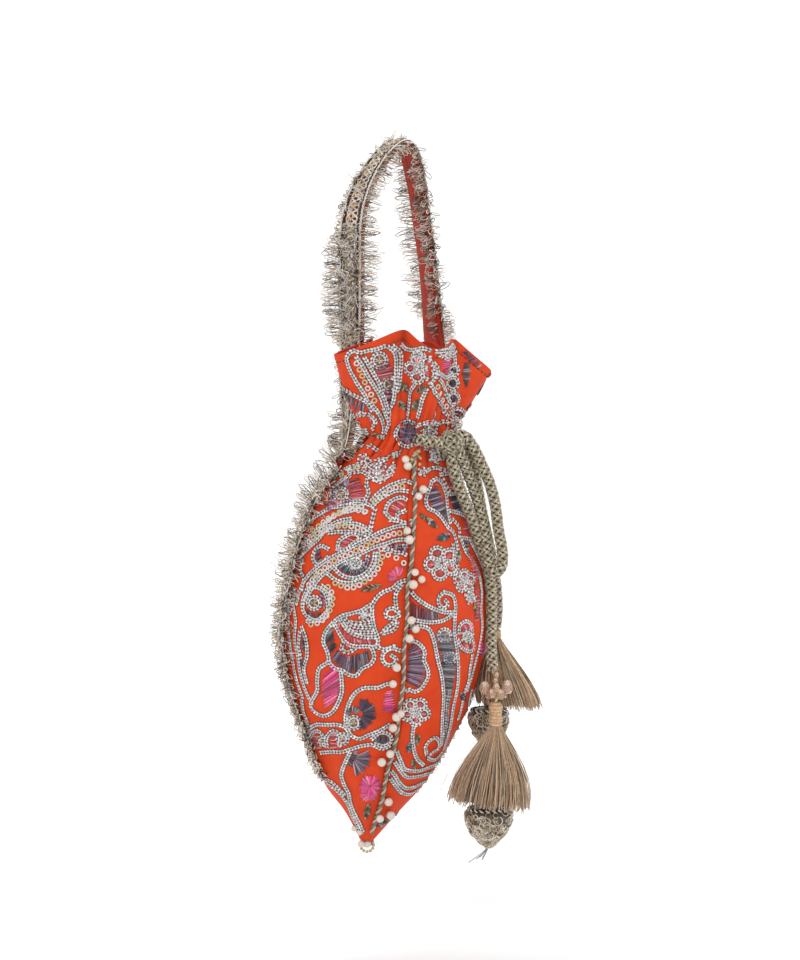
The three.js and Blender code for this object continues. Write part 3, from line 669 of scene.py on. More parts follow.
# Handle strap: a flat band of dark red silk, folded and edge-stitched, sewn to the side seams and
# standing in an arch over the mouth.
STRAP_THICKNESS = 2
STRAP_STEPS = 260
ON_CLOTH = 1.44
ARCH_PLANE = math.radians(13.4)
ARCH = [  # along the arch's plane, height, twist in degrees
    (-27.2, -112, 2), (-26.2, -95, 9), (-26.4, -64, 14), (-25.6, -38, 12), (-22, -25.5, 8), (-15.5, -14, 3),
    (-8.5, -5.5, 0), (-2.5, -0.8, 0), (0, 0, 0), (4, -4.5, 0), (7.8, -18, -3), (11.8, -42, -6),
    (15.2, -64, -6), (18.4, -95, 0), (20.5, -113, 6),
]
STRAP_FEET = (-158, -150)
STRAP_SECTION = np.array([  # across, outward from the underside
    (-7.5, 0.35), (-7.2, 0), (-3.6, 0.12), (0, 0.15), (3.6, 0.12), (7.2, 0), (7.5, 0.35),
    (7.5, 1.65), (7.2, 2), (3.6, 1.95), (0, 1.9), (-3.6, 1.95), (-7.2, 2), (-7.5, 1.65),
])
STRAP_RED = silk_material("strap_silk", (0.33, 0.022, 0.01), (0.45, 0.036, 0.014), 0.6)


def strap_foot(seam, z, turn):
    point, step, up, outward = cloth_frame(seam, row_at(z))
    return np.concatenate((point + outward * ON_CLOTH, step * turn))


def arch_row(along, z, twist):
    turn = ARCH_PLANE + math.radians(twist)
    place = along * math.cos(ARCH_PLANE), along * math.sin(ARCH_PLANE), z
    return *place, -math.sin(turn), math.cos(turn), 0


strap_route = [strap_foot(SEAMS["left"], z, -1) for z in STRAP_FEET]
strap_route += [arch_row(*row) for row in ARCH]
strap_route += [strap_foot(SEAMS["right"], z, 1) for z in reversed(STRAP_FEET)]
strap_rows = smooth_path(strap_route, 500)
STRAP_LENGTH = path_length(strap_rows)
strap_places, strap_across = strap_rows[:, :3], strap_rows[:, 3:]
strap_along = unit(np.gradient(strap_places, axis=0))
strap_across = unit(strap_across - strap_along * (strap_across * strap_along).sum(axis=1, keepdims=True))
strap_outward = np.cross(strap_along, strap_across)
STRAP_TABLE = np.concatenate((strap_places, strap_along, strap_across, strap_outward), axis=1)


def strap_frame(at):
    """Point, along, across and outward of the strap's underside at shares of its length."""
    at = np.asarray(at, float)
    shares = np.linspace(0, 1, len(STRAP_TABLE))
    rows = np.stack([np.interp(at, shares, column) for column in STRAP_TABLE.T], axis=-1)
    return rows[..., :3], unit(rows[..., 3:6]), unit(rows[..., 6:9]), unit(rows[..., 9:])


strap_at = np.linspace(0, 1, STRAP_STEPS)
point, along, across, outward = (part[:, None] for part in strap_frame(strap_at))
corners = point + across * STRAP_SECTION[:, :1] + outward * STRAP_SECTION[:, 1:]
sides = len(STRAP_SECTION)
first = np.arange(STRAP_STEPS - 1)[:, None] * sides
near, far = first + np.arange(sides), first + (np.arange(sides) + 1) % sides
walls = np.stack((near, far, far + sides, near + sides), axis=-1).reshape(-1, 4)
start_cap = np.array([(0, i, i + 1, i + 2) for i in range(1, sides - 1, 2)])
end_cap = start_cap + (STRAP_STEPS - 1) * sides
faces = np.concatenate((walls, start_cap[:, ::-1], end_cap))
uvs = np.broadcast_arrays(STRAP_SECTION[None, :, 0] * MM, strap_at[:, None] * STRAP_LENGTH * MM)
uvs = np.stack(uvs, axis=-1).reshape(-1, 2)
strap = mesh_piece("strap_band", STRAP_RED, corners.reshape(-1, 3), faces, uvs=uvs)
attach(strap, "root")
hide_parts("handle_strap")

# Lace: a tape of silver-gilt thread with two dark gimp cords, crossing plaits and ring sequins, and a
# fringe of twisted loops on both edges. One length is sewn on the strap, two over the side seams.
TAPE_EDGE = 7.0
TAPE_COLUMNS = 9
TAPE_THICKNESS = 0.5
TAPE_LOOPS = 2.0  # loops to the millimetre that lie over the tape
GIMP_OFFSET = 5.6
GIMP_RADIUS = 0.62
EDGING_OFFSET = GIMP_OFFSET + 1.5
EDGING_RADIUS = 0.34
EDGING_SWAY = 0.75
EDGING_PERIOD = 3.2
PLAIT_RADIUS = 0.5
PLAIT_REACH = 4.0
PLAIT_PERIOD = 11
SEQUIN_LIFT = 1.5
SEQUIN_RADIUS = 1.7
FRINGE_LENGTH = 11
FRINGE_PITCH = 1.05
FRINGE_THREAD = 0.2
FRINGE_LAYERS = ((0, 1.0), (26, 0.86))  # more degrees of lift, share of the length
SILVER_THREADS = np.array([
    (0.88, 0.79, 0.7), (0.66, 0.54, 0.43), (0.95, 0.91, 0.86), (0.16, 0.12, 0.09), (0.76, 0.63, 0.49),
])
GIMP_DARK = (0.035, 0.03, 0.028)
SEQUIN_GOLD = (0.62, 0.46, 0.2)
LACE_GROUND = (0.3, 0.045, 0.025)
LOOP_SHADE = np.repeat((1.1, 1.15, 1.15, 1.1, 1.05, 0.85, 0.65, 0.6, 0.65), 3)[:, None]  # lit leg, shaded leg
HANDLE_FRINGE = {  # on the near and the far edge: share of the strap, degrees of lift, share of the length
    -1: np.array([
        (0, 10, 1), (0.03, -62, 1.15), (0.09, -62, 1.15), (0.11, -60, 0.6), (0.17, -50, 0.5),
        (0.195, -6, 1.1), (0.26, -16, 1.2), (0.33, -20, 1.1), (0.36, -30, 0.9), (0.44, -42, 0.85),
        (0.51, -60, 0.9), (0.56, -66, 1.1), (0.7, -56, 1.1), (0.76, -46, 1), (0.79, 30, 0.7),
        (0.87, 40, 0.7), (0.92, 30, 0.7), (1, 30, 0.8),
    ]),
    1: np.array([
        (0, 30, 1.1), (0.05, 30, 1.1), (0.085, 20, 0.9), (0.1, -48, 0.35), (0.18, -48, 0.35),
        (0.205, 10, 0.9), (0.24, 14, 1.05), (0.33, 12, 1), (0.36, -10, 0.45), (0.43, -40, 0.35),
        (0.5, -70, 0.35), (0.55, -48, 0.8), (0.6, -42, 1.3), (0.7, -36, 1.3), (0.76, -30, 1.2),
        (0.79, 20, 0.7), (0.87, 30, 0.7), (1, 30, 0.8),
    ]),
}
TANGLE = ((0.19, 0.36, 330), (0.01, 0.095, 90))  # shares of the strap where more loops fall over the tape
UNDER_LOOPS = (0.54, 0.8, 105)  # shares of the strap where the near fringe is turned under it
LACE_TAPE = thread_material("lace_ground", 0.6, 0.25, 0.1, 1500)

bpy.ops.object.select_all(action="DESELECT")
bpy.ops.mesh.primitive_torus_add(major_segments=14, minor_segments=6, major_radius=0.72, minor_radius=0.28)
RING_SHAPE = shape_of(bpy.context.object)


def pick(shades, count):
    """So many shades, each drawn from the given ones."""
    return shades[rng.integers(0, len(shades), count)]


def per_thread(colours, corners):
    """Spreads one colour per thread over the corners of equal threads."""
    return np.repeat(colours, len(corners) // len(colours), axis=0)


def loop_colours(shades, corners):
    """One colour per loop, darker on the leg that lies in the shade."""
    return per_thread(shades, corners) * np.tile(LOOP_SHADE, (len(shades), 1))


def fringe_loops(base, reach, along, face, length, half_width):
    """Twisted loops of silver thread, one on each base; each is turned a little out of its plane."""
    count = len(base)
    turn = rng.normal(0, 0.75, count)[:, None]
    wide = np.cos(turn) * along + np.sin(turn) * face
    lean = rng.normal(0, 0.2, count)[:, None] * along + rng.normal(0.06, 0.2, count)[:, None] * face
    reach = unit(reach + lean)
    phase = np.linspace(0.12, 2 * np.pi - 0.12, 9)
    out = (1 - np.cos(phase)) / 2
    spread = np.sin(phase) * (0.35 + 0.65 * out)
    bow = rng.normal(0, 0.9, count)[:, None] * out ** 2
    curl = bow + 0.25 * np.sin(5 * out + rng.uniform(0, 6, count)[:, None])
    paths = base[:, None] + reach[:, None] * (length[:, None] * out)[..., None]
    paths = paths + wide[:, None] * (half_width[:, None] * spread)[..., None]
    paths = paths + face[:, None] * curl[..., None]
    corners, faces = tubes(paths, FRINGE_THREAD, 3, facing=np.cross(reach, wide))
    return corners, faces, loop_colours(pick(SILVER_THREADS, count), corners)


def lay_lace(name, node, tape, length, fringe, tangle=()):
    """Sews lace on: tape(at, offset) gives a point on the cloth and its along, across and outward.

    fringe holds a table for each edge: share of the length, degrees of lift, share of the loops' length.
    tangle lists shares of the length between which so many more loops lie over the tape. Returns the pieces.
    """
    steps = int(length / 1.2)
    offsets = np.linspace(-TAPE_EDGE, TAPE_EDGE, TAPE_COLUMNS)
    at, offset = np.meshgrid(np.linspace(0, 1, steps), offsets, indexing="ij")
    point, along, across, outward = tape(at.ravel(), offset.ravel())
    faces = grid_faces(TAPE_COLUMNS, steps)
    ground = mesh_piece(f"{name}_tape", LACE_TAPE, point + outward * TAPE_THICKNESS, faces, LACE_GROUND)
    apply_modifier(ground, "SOLIDIFY", thickness=TAPE_THICKNESS * MM, offset=0)
    line = np.linspace(0, 1, int(length / 0.9))

    def run(offset, lift, radius, sides):
        """A thread along the whole tape, at an offset across it and a height over it."""
        point, along, across, outward = tape(line, offset)
        path = point + outward * np.reshape(lift, (-1, 1))
        return tubes(path[None], radius, sides, facing=outward[None])

    parts = []
    for side in (-1, 1):
        parts.append((*run(np.full_like(line, side * GIMP_OFFSET), 1.1, GIMP_RADIUS, 6), GIMP_DARK))
        for strand in (0.0, np.pi):
            sway = EDGING_SWAY * np.sin(line * length * 2 * np.pi / EDGING_PERIOD + strand)
            parts.append((*run(side * EDGING_OFFSET + sway, 1.2, EDGING_RADIUS, 4), SILVER_THREADS[0]))
    for strand in range(4):
        phase = line * length * 2 * np.pi / PLAIT_PERIOD + strand * np.pi / 2
        over = 1.15 + 0.35 * np.cos(2 * phase)
        parts.append((*run(PLAIT_REACH * np.sin(phase), over, PLAIT_RADIUS, 4), SILVER_THREADS[strand % 3]))
    count = int(length / FRINGE_PITCH)
    for side in (-1, 1):
        for lift_more, shorter in FRINGE_LAYERS:
            spots = np.clip((np.arange(count) + rng.uniform(-0.4, 0.4, count)) / count, 0.002, 0.998)
            point, along, across, outward = tape(spots, np.full(count, side * TAPE_EDGE))
            lift, share = (np.interp(spots, fringe[side][:, 0], fringe[side][:, i]) for i in (1, 2))
            tilt = np.radians(lift + lift_more + rng.normal(0, 9, count))[:, None]
            sideways = across * side
            reach = sideways * np.cos(tilt) + outward * np.sin(tilt)
            face = outward * np.cos(tilt) - sideways * np.sin(tilt)
            long = FRINGE_LENGTH * shorter * share * rng.uniform(0.62, 1.0, count)
            base, wide = point + outward * 0.9, rng.uniform(0.9, 2.0, count)
            parts.append(fringe_loops(base, reach, along, face, long, wide))
    spots = [rng.uniform(0.005, 0.995, int(length * TAPE_LOOPS))]
    spots = np.concatenate(spots + [rng.uniform(first, last, more) for first, last, more in tangle])
    count = len(spots)
    point, along, across, outward = tape(spots, rng.uniform(-6, 6, count))
    spin = rng.normal(0, 0.9, count)[:, None] + np.pi * rng.integers(0, 2, count)[:, None]
    reach = np.cos(spin) * across + np.sin(spin) * along + rng.uniform(-0.05, 0.16, count)[:, None] * outward
    turned = np.cos(spin) * along - np.sin(spin) * across
    long, wide = rng.uniform(3.5, 7.5, count), rng.uniform(0.7, 1.4, count)
    parts.append(fringe_loops(point + outward * 1.5, reach, turned, outward, long, wide))
    threads = mesh_piece(f"{name}_threads", GOLD_THREAD, *joined(parts))
    rings = int(length / (PLAIT_PERIOD / 2))
    point, along, across, outward = tape((np.arange(rings) + 0.5) / rings, np.zeros(rings))
    axes = np.stack((along, across, outward), axis=1)
    rings = copies(RING_SHAPE, point + outward * SEQUIN_LIFT, SEQUIN_RADIUS, axes)
    sequins = mesh_piece(f"{name}_sequins", GOLD_THREAD, *rings, SEQUIN_GOLD)
    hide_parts(node)
    for piece in (ground, threads, sequins):
        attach(piece, "root")
    return [ground, threads, sequins]


def handle_tape(at, offset):
    point, along, across, outward = strap_frame(at)
    return point + across * offset[:, None] + outward * STRAP_THICKNESS, along, across, outward


handle_lace = lay_lace("lace_on_handle", "lace_handle", handle_tape, STRAP_LENGTH, HANDLE_FRINGE, TANGLE)
first, last, count = UNDER_LOOPS
point, along, across, outward = strap_frame(rng.uniform(first, last, count))
base = point - across * 7.3 - outward * 0.3
reach = unit(across - 0.22 * outward + rng.normal(0.2, 0.35, count)[:, None] * along)
long, wide = rng.uniform(3.5, 7.5, count), rng.uniform(0.8, 1.6, count)
loops = fringe_loops(base, reach, along, -outward, long, wide)
turned_under = mesh_piece("lace_on_handle_under", GOLD_THREAD, *loops)
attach(turned_under, "root")
handle_lace.append(turned_under)

SEAM_LACE_TOP, SEAM_LACE_BOTTOM = -159.5, -312
SEAM_LACE_LENGTH = 158
FULL_DEGREE = 0.42  # millimetres to a degree round, below which the tape is drawn narrower
LACE_TURN = {"left": 6, "right": 0}  # degrees that the tape lies in front of its seam
LEFT_LENGTHS = [
    (0, 0.3), (0.24, 0.35), (0.34, 0.55), (0.5, 0.8), (0.68, 0.95), (0.78, 0.85), (0.88, 1.0), (0.95, 1.3),
    (1, 1.5),
]
RIGHT_LENGTHS = [(0, 0.5), (0.2, 0.8), (1, 1)]
RIGHT_FRINGE = np.array([(at, 14, share) for at, share in RIGHT_LENGTHS])
SEAM_FRINGE = {  # on the edge towards the back and the one towards the front
    "left": {-1: np.array([(at, 40, share) for at, share in LEFT_LENGTHS]),
             1: np.array([(at, 4, 0.5 + 0.7 * share) for at, share in LEFT_LENGTHS])},
    "right": {-1: RIGHT_FRINGE, 1: RIGHT_FRINGE},
}
for side_name, fringe in SEAM_FRINGE.items():
    def seam_tape(at, offset, seam=SEAMS[side_name] + LACE_TURN[side_name]):
        row = row_at(SEAM_LACE_BOTTOM + (SEAM_LACE_TOP - SEAM_LACE_BOTTOM) * at)
        step = np.linalg.norm(cloth_point(seam + 1, row) - cloth_point(seam - 1, row), axis=-1) / 2
        narrowing = np.clip(step / FULL_DEGREE, 0.4, 1)
        point, across, along, outward = cloth_frame(seam + offset * narrowing / step, row)
        return point + outward * (WALL / 2 + 0.1), along, across, outward

    lay_lace(
        f"lace_on_seam_{side_name}", f"lace_seam_{side_name}", seam_tape, SEAM_LACE_LENGTH, fringe,
    )

# Embroidery: chain stitch in white, pink and grey-green thread outlines flowers, paisleys and bands, with
# satin stitch in purples, reds and olive, and ring sequins. It is worked on each gore. The chart lists the
# stitching as it shows from the front, in points across and down that view; the back repeats it.
CHAIN_PITCH = 1.5
CHAIN_WIDTH = 1.35
CHAIN_SLANT = math.radians(22)
# Painted shade: a dark plate in the eye of each link. Painted shadow: a dark patch under each link, wider
# than the chain.
CHAIN_EYE_SHADE = (0.015, 0.01, 0.012)
CHAIN_SHADOW = (0.13, 0.012, 0.008)
CHAIN_SHADOW_WIDTH = 2.8
GRAIN_SIZE = (2.15, 1.1, 0.8)
EYE_SIZE = (0.85, 0.6)
EYE_LIFT = 0.42
HEM_THREAD = (0.045, 0.008, 0.008)
HEM_PITCH = 3.6
HEM_STITCH = np.array((0, 1.3, 2.6))  # degrees along one stitch
HEM_THREAD_RADIUS = 0.26
ON_SILK = WALL / 2 + 0.1
STITCH_LIFT = WALL / 2 + 0.25
SATIN_PITCH = 0.62
SATIN_THREAD = 0.42
SATIN_TAPER = np.array((0.55, 1, 1, 1, 0.55))
GLINT = np.array((0.3, 0.28, 0.3))
SEAM_EDGE = 1.2  # degrees from a seam that the stitches stop at
RING_GAP = 5.4
RING_RADIUS = 1.5
VIEW_MIDDLE = (400, 480)
VIEW_SCALE = 960 * LENS_MM / 36
CHAIN_SHADES = np.array([
    (0.93, 0.91, 0.88), (0.9, 0.87, 0.85), (0.86, 0.68, 0.68), (0.62, 0.72, 0.64), (0.8, 0.74, 0.8),
])
RING_SHADES = np.array([(0.72, 0.66, 0.58), (0.6, 0.5, 0.3), (0.74, 0.62, 0.62)])
SHADES = {
    "white": (0.78, 0.75, 0.72), "purple": (0.12, 0.05, 0.115), "lilac": (0.27, 0.18, 0.26),
    "grey": (0.16, 0.15, 0.18), "teal": (0.06, 0.11, 0.13), "maroon": (0.25, 0.03, 0.045),
    "rose": (0.6, 0.11, 0.13), "magenta": (0.7, 0.03, 0.22), "pink": (0.85, 0.13, 0.3),
    "olive": (0.18, 0.155, 0.075), "red": (0.62, 0.05, 0.03), "dark": (0.035, 0.025, 0.04),
    "gilt": (0.44, 0.35, 0.24),
}
CHAINS = [
    # Body, left of the pearl seam
    [(374, 470), (382, 461), (392, 455), (402, 451)],
    [(336, 479), (342, 473), (350, 468), (358, 465), (366, 464), (373, 469)],
    [(339, 485), (346, 478), (355, 473), (364, 473), (371, 478)],
    [(369, 477), (367, 486), (369, 492), (366, 500)],
    [(340, 462), (334, 470), (330, 480), (322, 490), (315, 502)],
    [(411, 483), (404, 481), (395, 484), (386, 488), (378, 494), (372, 501)],
    [(413, 493), (405, 491), (396, 491), (387, 495), (379, 500), (372, 507)],
    [(375, 510), (373, 518), (371, 527)],
    [(301, 549), (308, 540), (318, 531), (328, 522), (338, 515), (348, 512), (358, 510), (367, 512)],
    [(308, 527), (316, 518), (324, 513), (333, 508), (343, 504), (353, 502), (362, 502), (369, 505)],
    [(302, 557), (311, 547), (320, 539), (327, 530), (336, 526), (346, 524), (356, 524), (364, 527),
     (371, 532)],
    [(330, 533), (340, 532), (350, 532), (360, 533), (369, 536)],
    [(411, 525), (395, 527), (381, 532), (368, 539), (354, 546), (341, 553), (330, 559), (320, 566),
     (312, 573),
     (305, 582), (301, 592), (298, 604)],
    [(410, 540), (397, 540), (385, 544), (373, 548), (360, 554), (348, 559), (338, 564), (328, 571),
     (319, 580),
     (312, 590), (307, 601)],
    [(338, 549), (340, 541), (347, 536), (355, 534), (360, 538), (353, 544), (346, 549), (338, 549)],
    [(385, 512), (388, 504), (395, 499), (403, 498), (408, 504), (404, 511), (397, 514), (396, 520),
     (389, 517), (385, 512)],
    [(390, 520), (398, 521), (406, 523), (411, 521)],
    [(329, 549), (322, 546), (316, 551), (314, 558), (318, 565), (325, 562), (329, 557)],
    [(304, 560), (302, 570), (305, 580), (303, 590)],
    [(334, 567), (342, 575), (355, 578), (366, 573), (373, 563), (375, 553)],
    [(345, 561), (350, 569), (358, 571), (365, 566), (368, 556)],
    [(329, 574), (338, 581), (350, 583), (362, 580), (371, 573), (377, 563), (378, 553)],
    [(385, 547), (393, 552), (402, 553), (408, 557)],
    [(407, 580), (399, 582), (392, 588), (383, 592), (377, 597), (372, 605)],
    [(401, 585), (396, 592), (395, 600), (396, 608)],
    [(334, 622), (342, 616), (352, 613), (362, 610), (371, 605), (372, 616), (374, 627), (378, 640),
     (376, 646),
     (366, 646), (355, 646), (347, 643), (340, 633), (334, 622)],
    [(346, 619), (352, 625), (360, 627), (370, 627)],
    [(341, 620), (348, 630), (357, 635), (366, 637), (375, 637)],
    [(333, 623), (326, 632), (324, 642), (327, 649), (329, 656), (330, 662), (336, 668), (343, 670),
     (349, 674), (356, 675),
     (362, 668), (370, 664), (374, 657), (372, 649)],
    [(344, 642), (342, 649), (349, 652), (355, 648)],
    [(309, 590), (304, 600), (305, 612), (313, 619), (322, 620), (328, 613), (328, 601), (325, 592),
     (317, 587), (309, 590)],
    [(296, 590), (295, 605), (297, 620), (296, 640), (299, 655), (301, 670), (305, 685), (309, 695),
     (313, 703)],
    [(290, 598), (290, 620), (291, 640), (294, 660), (298, 680), (304, 697)],
    [(303, 627), (307, 640), (308, 655), (305, 669), (308, 682)],
    [(301, 632), (300, 645), (302, 658)],
    [(327, 663), (320, 668), (318, 680), (318, 690), (313, 700), (312, 706), (317, 712), (325, 715),
     (333, 711), (338, 703),
     (342, 692), (342, 680), (341, 670)],
    [(393, 682), (385, 684), (378, 687), (370, 687), (362, 688), (355, 693), (350, 701), (347, 711),
     (346, 721), (349, 731)],
    [(303, 700), (305, 712), (309, 722), (310, 734)],
    [(309, 729), (317, 724), (328, 724), (338, 724), (346, 727), (351, 734), (359, 738), (369, 734),
     (379, 730), (389, 724)],
    [(322, 752), (332, 751), (342, 751), (352, 748), (362, 745), (372, 744), (382, 748), (389, 745)],
    [(312, 747), (312, 736), (318, 730), (324, 735), (325, 745)],
    [(328, 746), (328, 736), (334, 730), (340, 734), (340, 745)],
    [(311, 748), (316, 756), (318, 765), (321, 774)],
    [(372, 738), (380, 732), (389, 734), (391, 740), (384, 745), (375, 743)],
    [(350, 752), (345, 763), (342, 774), (345, 784), (349, 792), (351, 802), (355, 812), (360, 822),
     (363, 830)],
    [(329, 783), (338, 790), (345, 798), (350, 806), (353, 815), (358, 824), (362, 832)],
    [(323, 778), (331, 780), (338, 786), (345, 793)],
    [(398, 612), (392, 608), (386, 611), (386, 616), (392, 618), (399, 615)],
    [(382, 633), (388, 626), (397, 621), (394, 629), (384, 633)],
    [(399, 650), (391, 648), (384, 652), (382, 658), (386, 664), (392, 664), (396, 659), (391, 655)],
    [(376, 646), (384, 649), (394, 646)],
    [(304, 553), (313, 543), (322, 534), (331, 526), (341, 521), (351, 519)],
    [(311, 523), (320, 515), (330, 509), (341, 507), (352, 506), (363, 507)],
    [(335, 500), (331, 493), (336, 487), (343, 481), (351, 477)],
    [(372, 462), (380, 460), (388, 458), (396, 455)],
    [(374, 480), (382, 478), (390, 475), (394, 469)],
    [(345, 470), (353, 469), (361, 469), (369, 472)],
    [(406, 546), (395, 547), (384, 550)],
    [(318, 573), (311, 583), (306, 595), (304, 607)],
    [(323, 586), (330, 592), (331, 602), (327, 612), (318, 620), (308, 621)],
    [(352, 622), (360, 623), (369, 622)],
    [(344, 624), (352, 631), (361, 632), (372, 632)],
    # Body, right of the pearl seam
    [(420, 448), (428, 449), (434, 454), (431, 460)],
    [(420, 474), (428, 470), (436, 468), (444, 470)],
    [(431, 482), (427, 492), (425, 501), (427, 508), (434, 512), (440, 518), (446, 527)],
    [(431, 482), (436, 479), (441, 484), (445, 494), (446, 505), (447, 514), (449, 523)],
    [(447, 494), (454, 495), (460, 498), (465, 506), (470, 516)],
    [(449, 511), (456, 513), (462, 516), (468, 522)],
    [(440, 475), (448, 474), (454, 480), (459, 489), (465, 498), (471, 508), (475, 520), (478, 535)],
    [(443, 480), (447, 489), (450, 495)],
    [(447, 528), (452, 532), (455, 540), (457, 550), (455, 560)],
    [(452, 545), (453, 556), (451, 567), (455, 573)],
    [(460, 538), (469, 539), (479, 539)],
    [(452, 520), (458, 527), (459, 537)],
    [(461, 541), (465, 551), (470, 559), (475, 569), (478, 581), (480, 595), (480, 610), (481, 625),
     (479, 640), (476, 653),
     (473, 665), (470, 678), (466, 690)],
    [(469, 541), (474, 552), (478, 562), (481, 574), (484, 590), (486, 610), (486, 630), (483, 645)],
    [(443, 592), (438, 597), (438, 604), (443, 608), (447, 604), (444, 600)],
    [(443, 592), (451, 595), (454, 604), (454, 618), (454, 632), (456, 650), (457, 670), (456, 690),
     (453, 705), (450, 720),
     (446, 735), (442, 748)],
    [(410, 590), (416, 598), (424, 604), (434, 609), (444, 612), (452, 612)],
    [(411, 619), (420, 621), (430, 622), (440, 621), (447, 618), (453, 613)],
    [(411, 627), (420, 626), (428, 629), (433, 640), (435, 650), (437, 661), (440, 673), (442, 686),
     (443, 700), (442, 715),
     (441, 730), (440, 744)],
    [(449, 690), (447, 705), (446, 720), (443, 735)],
    [(458, 633), (459, 625), (465, 621), (470, 625), (471, 634)],
    [(457, 640), (461, 648), (467, 651), (472, 648), (471, 640)],
    [(470, 655), (468, 668), (467, 680), (463, 692), (460, 706), (456, 718)],
    [(407, 641), (414, 641), (420, 645), (424, 652), (423, 660), (426, 667), (427, 675), (424, 682),
     (420, 688), (414, 691),
     (408, 689), (404, 693)],
    [(414, 722), (412, 736), (413, 748), (416, 758), (422, 764)],
    [(425, 753), (424, 746), (428, 740), (434, 737), (438, 741), (437, 748), (431, 752), (427, 757),
     (433, 759), (440, 752)],
    [(394, 744), (397, 752), (400, 760), (404, 768), (412, 770), (421, 769), (431, 765), (441, 758),
     (449, 749), (455, 739),
     (460, 727), (465, 714), (468, 702), (471, 690)],
    [(390, 756), (395, 762), (400, 770), (406, 776), (414, 776), (423, 774), (433, 770), (442, 763)],
    [(388, 767), (394, 774), (399, 782), (405, 787), (413, 786), (421, 782), (430, 777), (438, 770)],
    [(386, 772), (391, 779), (396, 786), (402, 792), (409, 793), (416, 789)],
    # Frill
    [(347, 358), (350, 368), (355, 378), (360, 387), (365, 395), (371, 403), (377, 411), (381, 419),
     (383, 428), (382, 438)],
    [(357, 357), (363, 366), (368, 376), (374, 386), (379, 395), (383, 404), (386, 413), (389, 422),
     (387, 434)],
    [(365, 358), (371, 369), (377, 380), (382, 391), (386, 402), (389, 412)],
    [(388, 347), (394, 352), (396, 361), (396, 371), (396, 381), (395, 391), (394, 401), (392, 410),
     (390, 418)],
    [(393, 346), (400, 352), (401, 362), (400, 372), (399, 382), (397, 391)],
    [(348, 356), (352, 350), (360, 352), (368, 350), (376, 349), (384, 346)],
    [(340, 382), (346, 389), (354, 394), (362, 399), (369, 404), (372, 410)],
    [(361, 412), (368, 414), (374, 418), (375, 424), (371, 429), (367, 434), (364, 440), (360, 447)],
    [(402, 345), (408, 349), (415, 350), (424, 348), (432, 350), (440, 348)],
    [(417, 383), (412, 391), (411, 400), (410, 410), (409, 418)],
    [(426, 389), (423, 398), (421, 408), (419, 417)],
    [(430, 360), (436, 366), (436, 375), (431, 382), (427, 389)],
    [(429, 380), (433, 390), (438, 400), (442, 409), (446, 418)],
    [(438, 379), (443, 388), (446, 398), (450, 407), (453, 416), (451, 425)],
    [(437, 372), (444, 377), (451, 372), (453, 362), (452, 353)],
    [(433, 413), (432, 419), (437, 424), (443, 421), (446, 428)],
    [(420, 424), (428, 421), (437, 424)],
    [(366, 447), (371, 446), (376, 450), (381, 452)],
]
RING_ROWS = [
    [(343, 476), (350, 471), (358, 468), (367, 467)],
    [(408, 486), (399, 487), (390, 490), (382, 496), (375, 502)],
    [(306, 546), (315, 538), (323, 529), (332, 519), (342, 513), (352, 508), (362, 507)],
    [(405, 533), (393, 534), (382, 538), (371, 543), (358, 550), (346, 556), (335, 561), (326, 568),
     (317, 576), (310, 585)],
    [(382, 557), (379, 566), (375, 573), (370, 578), (364, 582), (357, 586), (350, 588), (343, 586),
     (336, 583)],
    [(381, 549), (388, 555), (396, 558), (403, 563)],
    [(329, 587), (333, 594), (333, 602), (331, 609), (327, 616), (320, 622), (312, 624)],
    [(357, 363), (361, 372), (365, 381), (369, 390), (374, 400)],
    [(436, 386), (438, 394), (443, 403), (447, 412), (449, 420)],
    [(437, 450), (438, 457)],
    [(322, 534), (332, 528), (343, 526), (354, 527), (364, 530)],
    [(315, 531), (324, 523), (334, 516), (345, 511), (355, 510), (365, 512)],
]
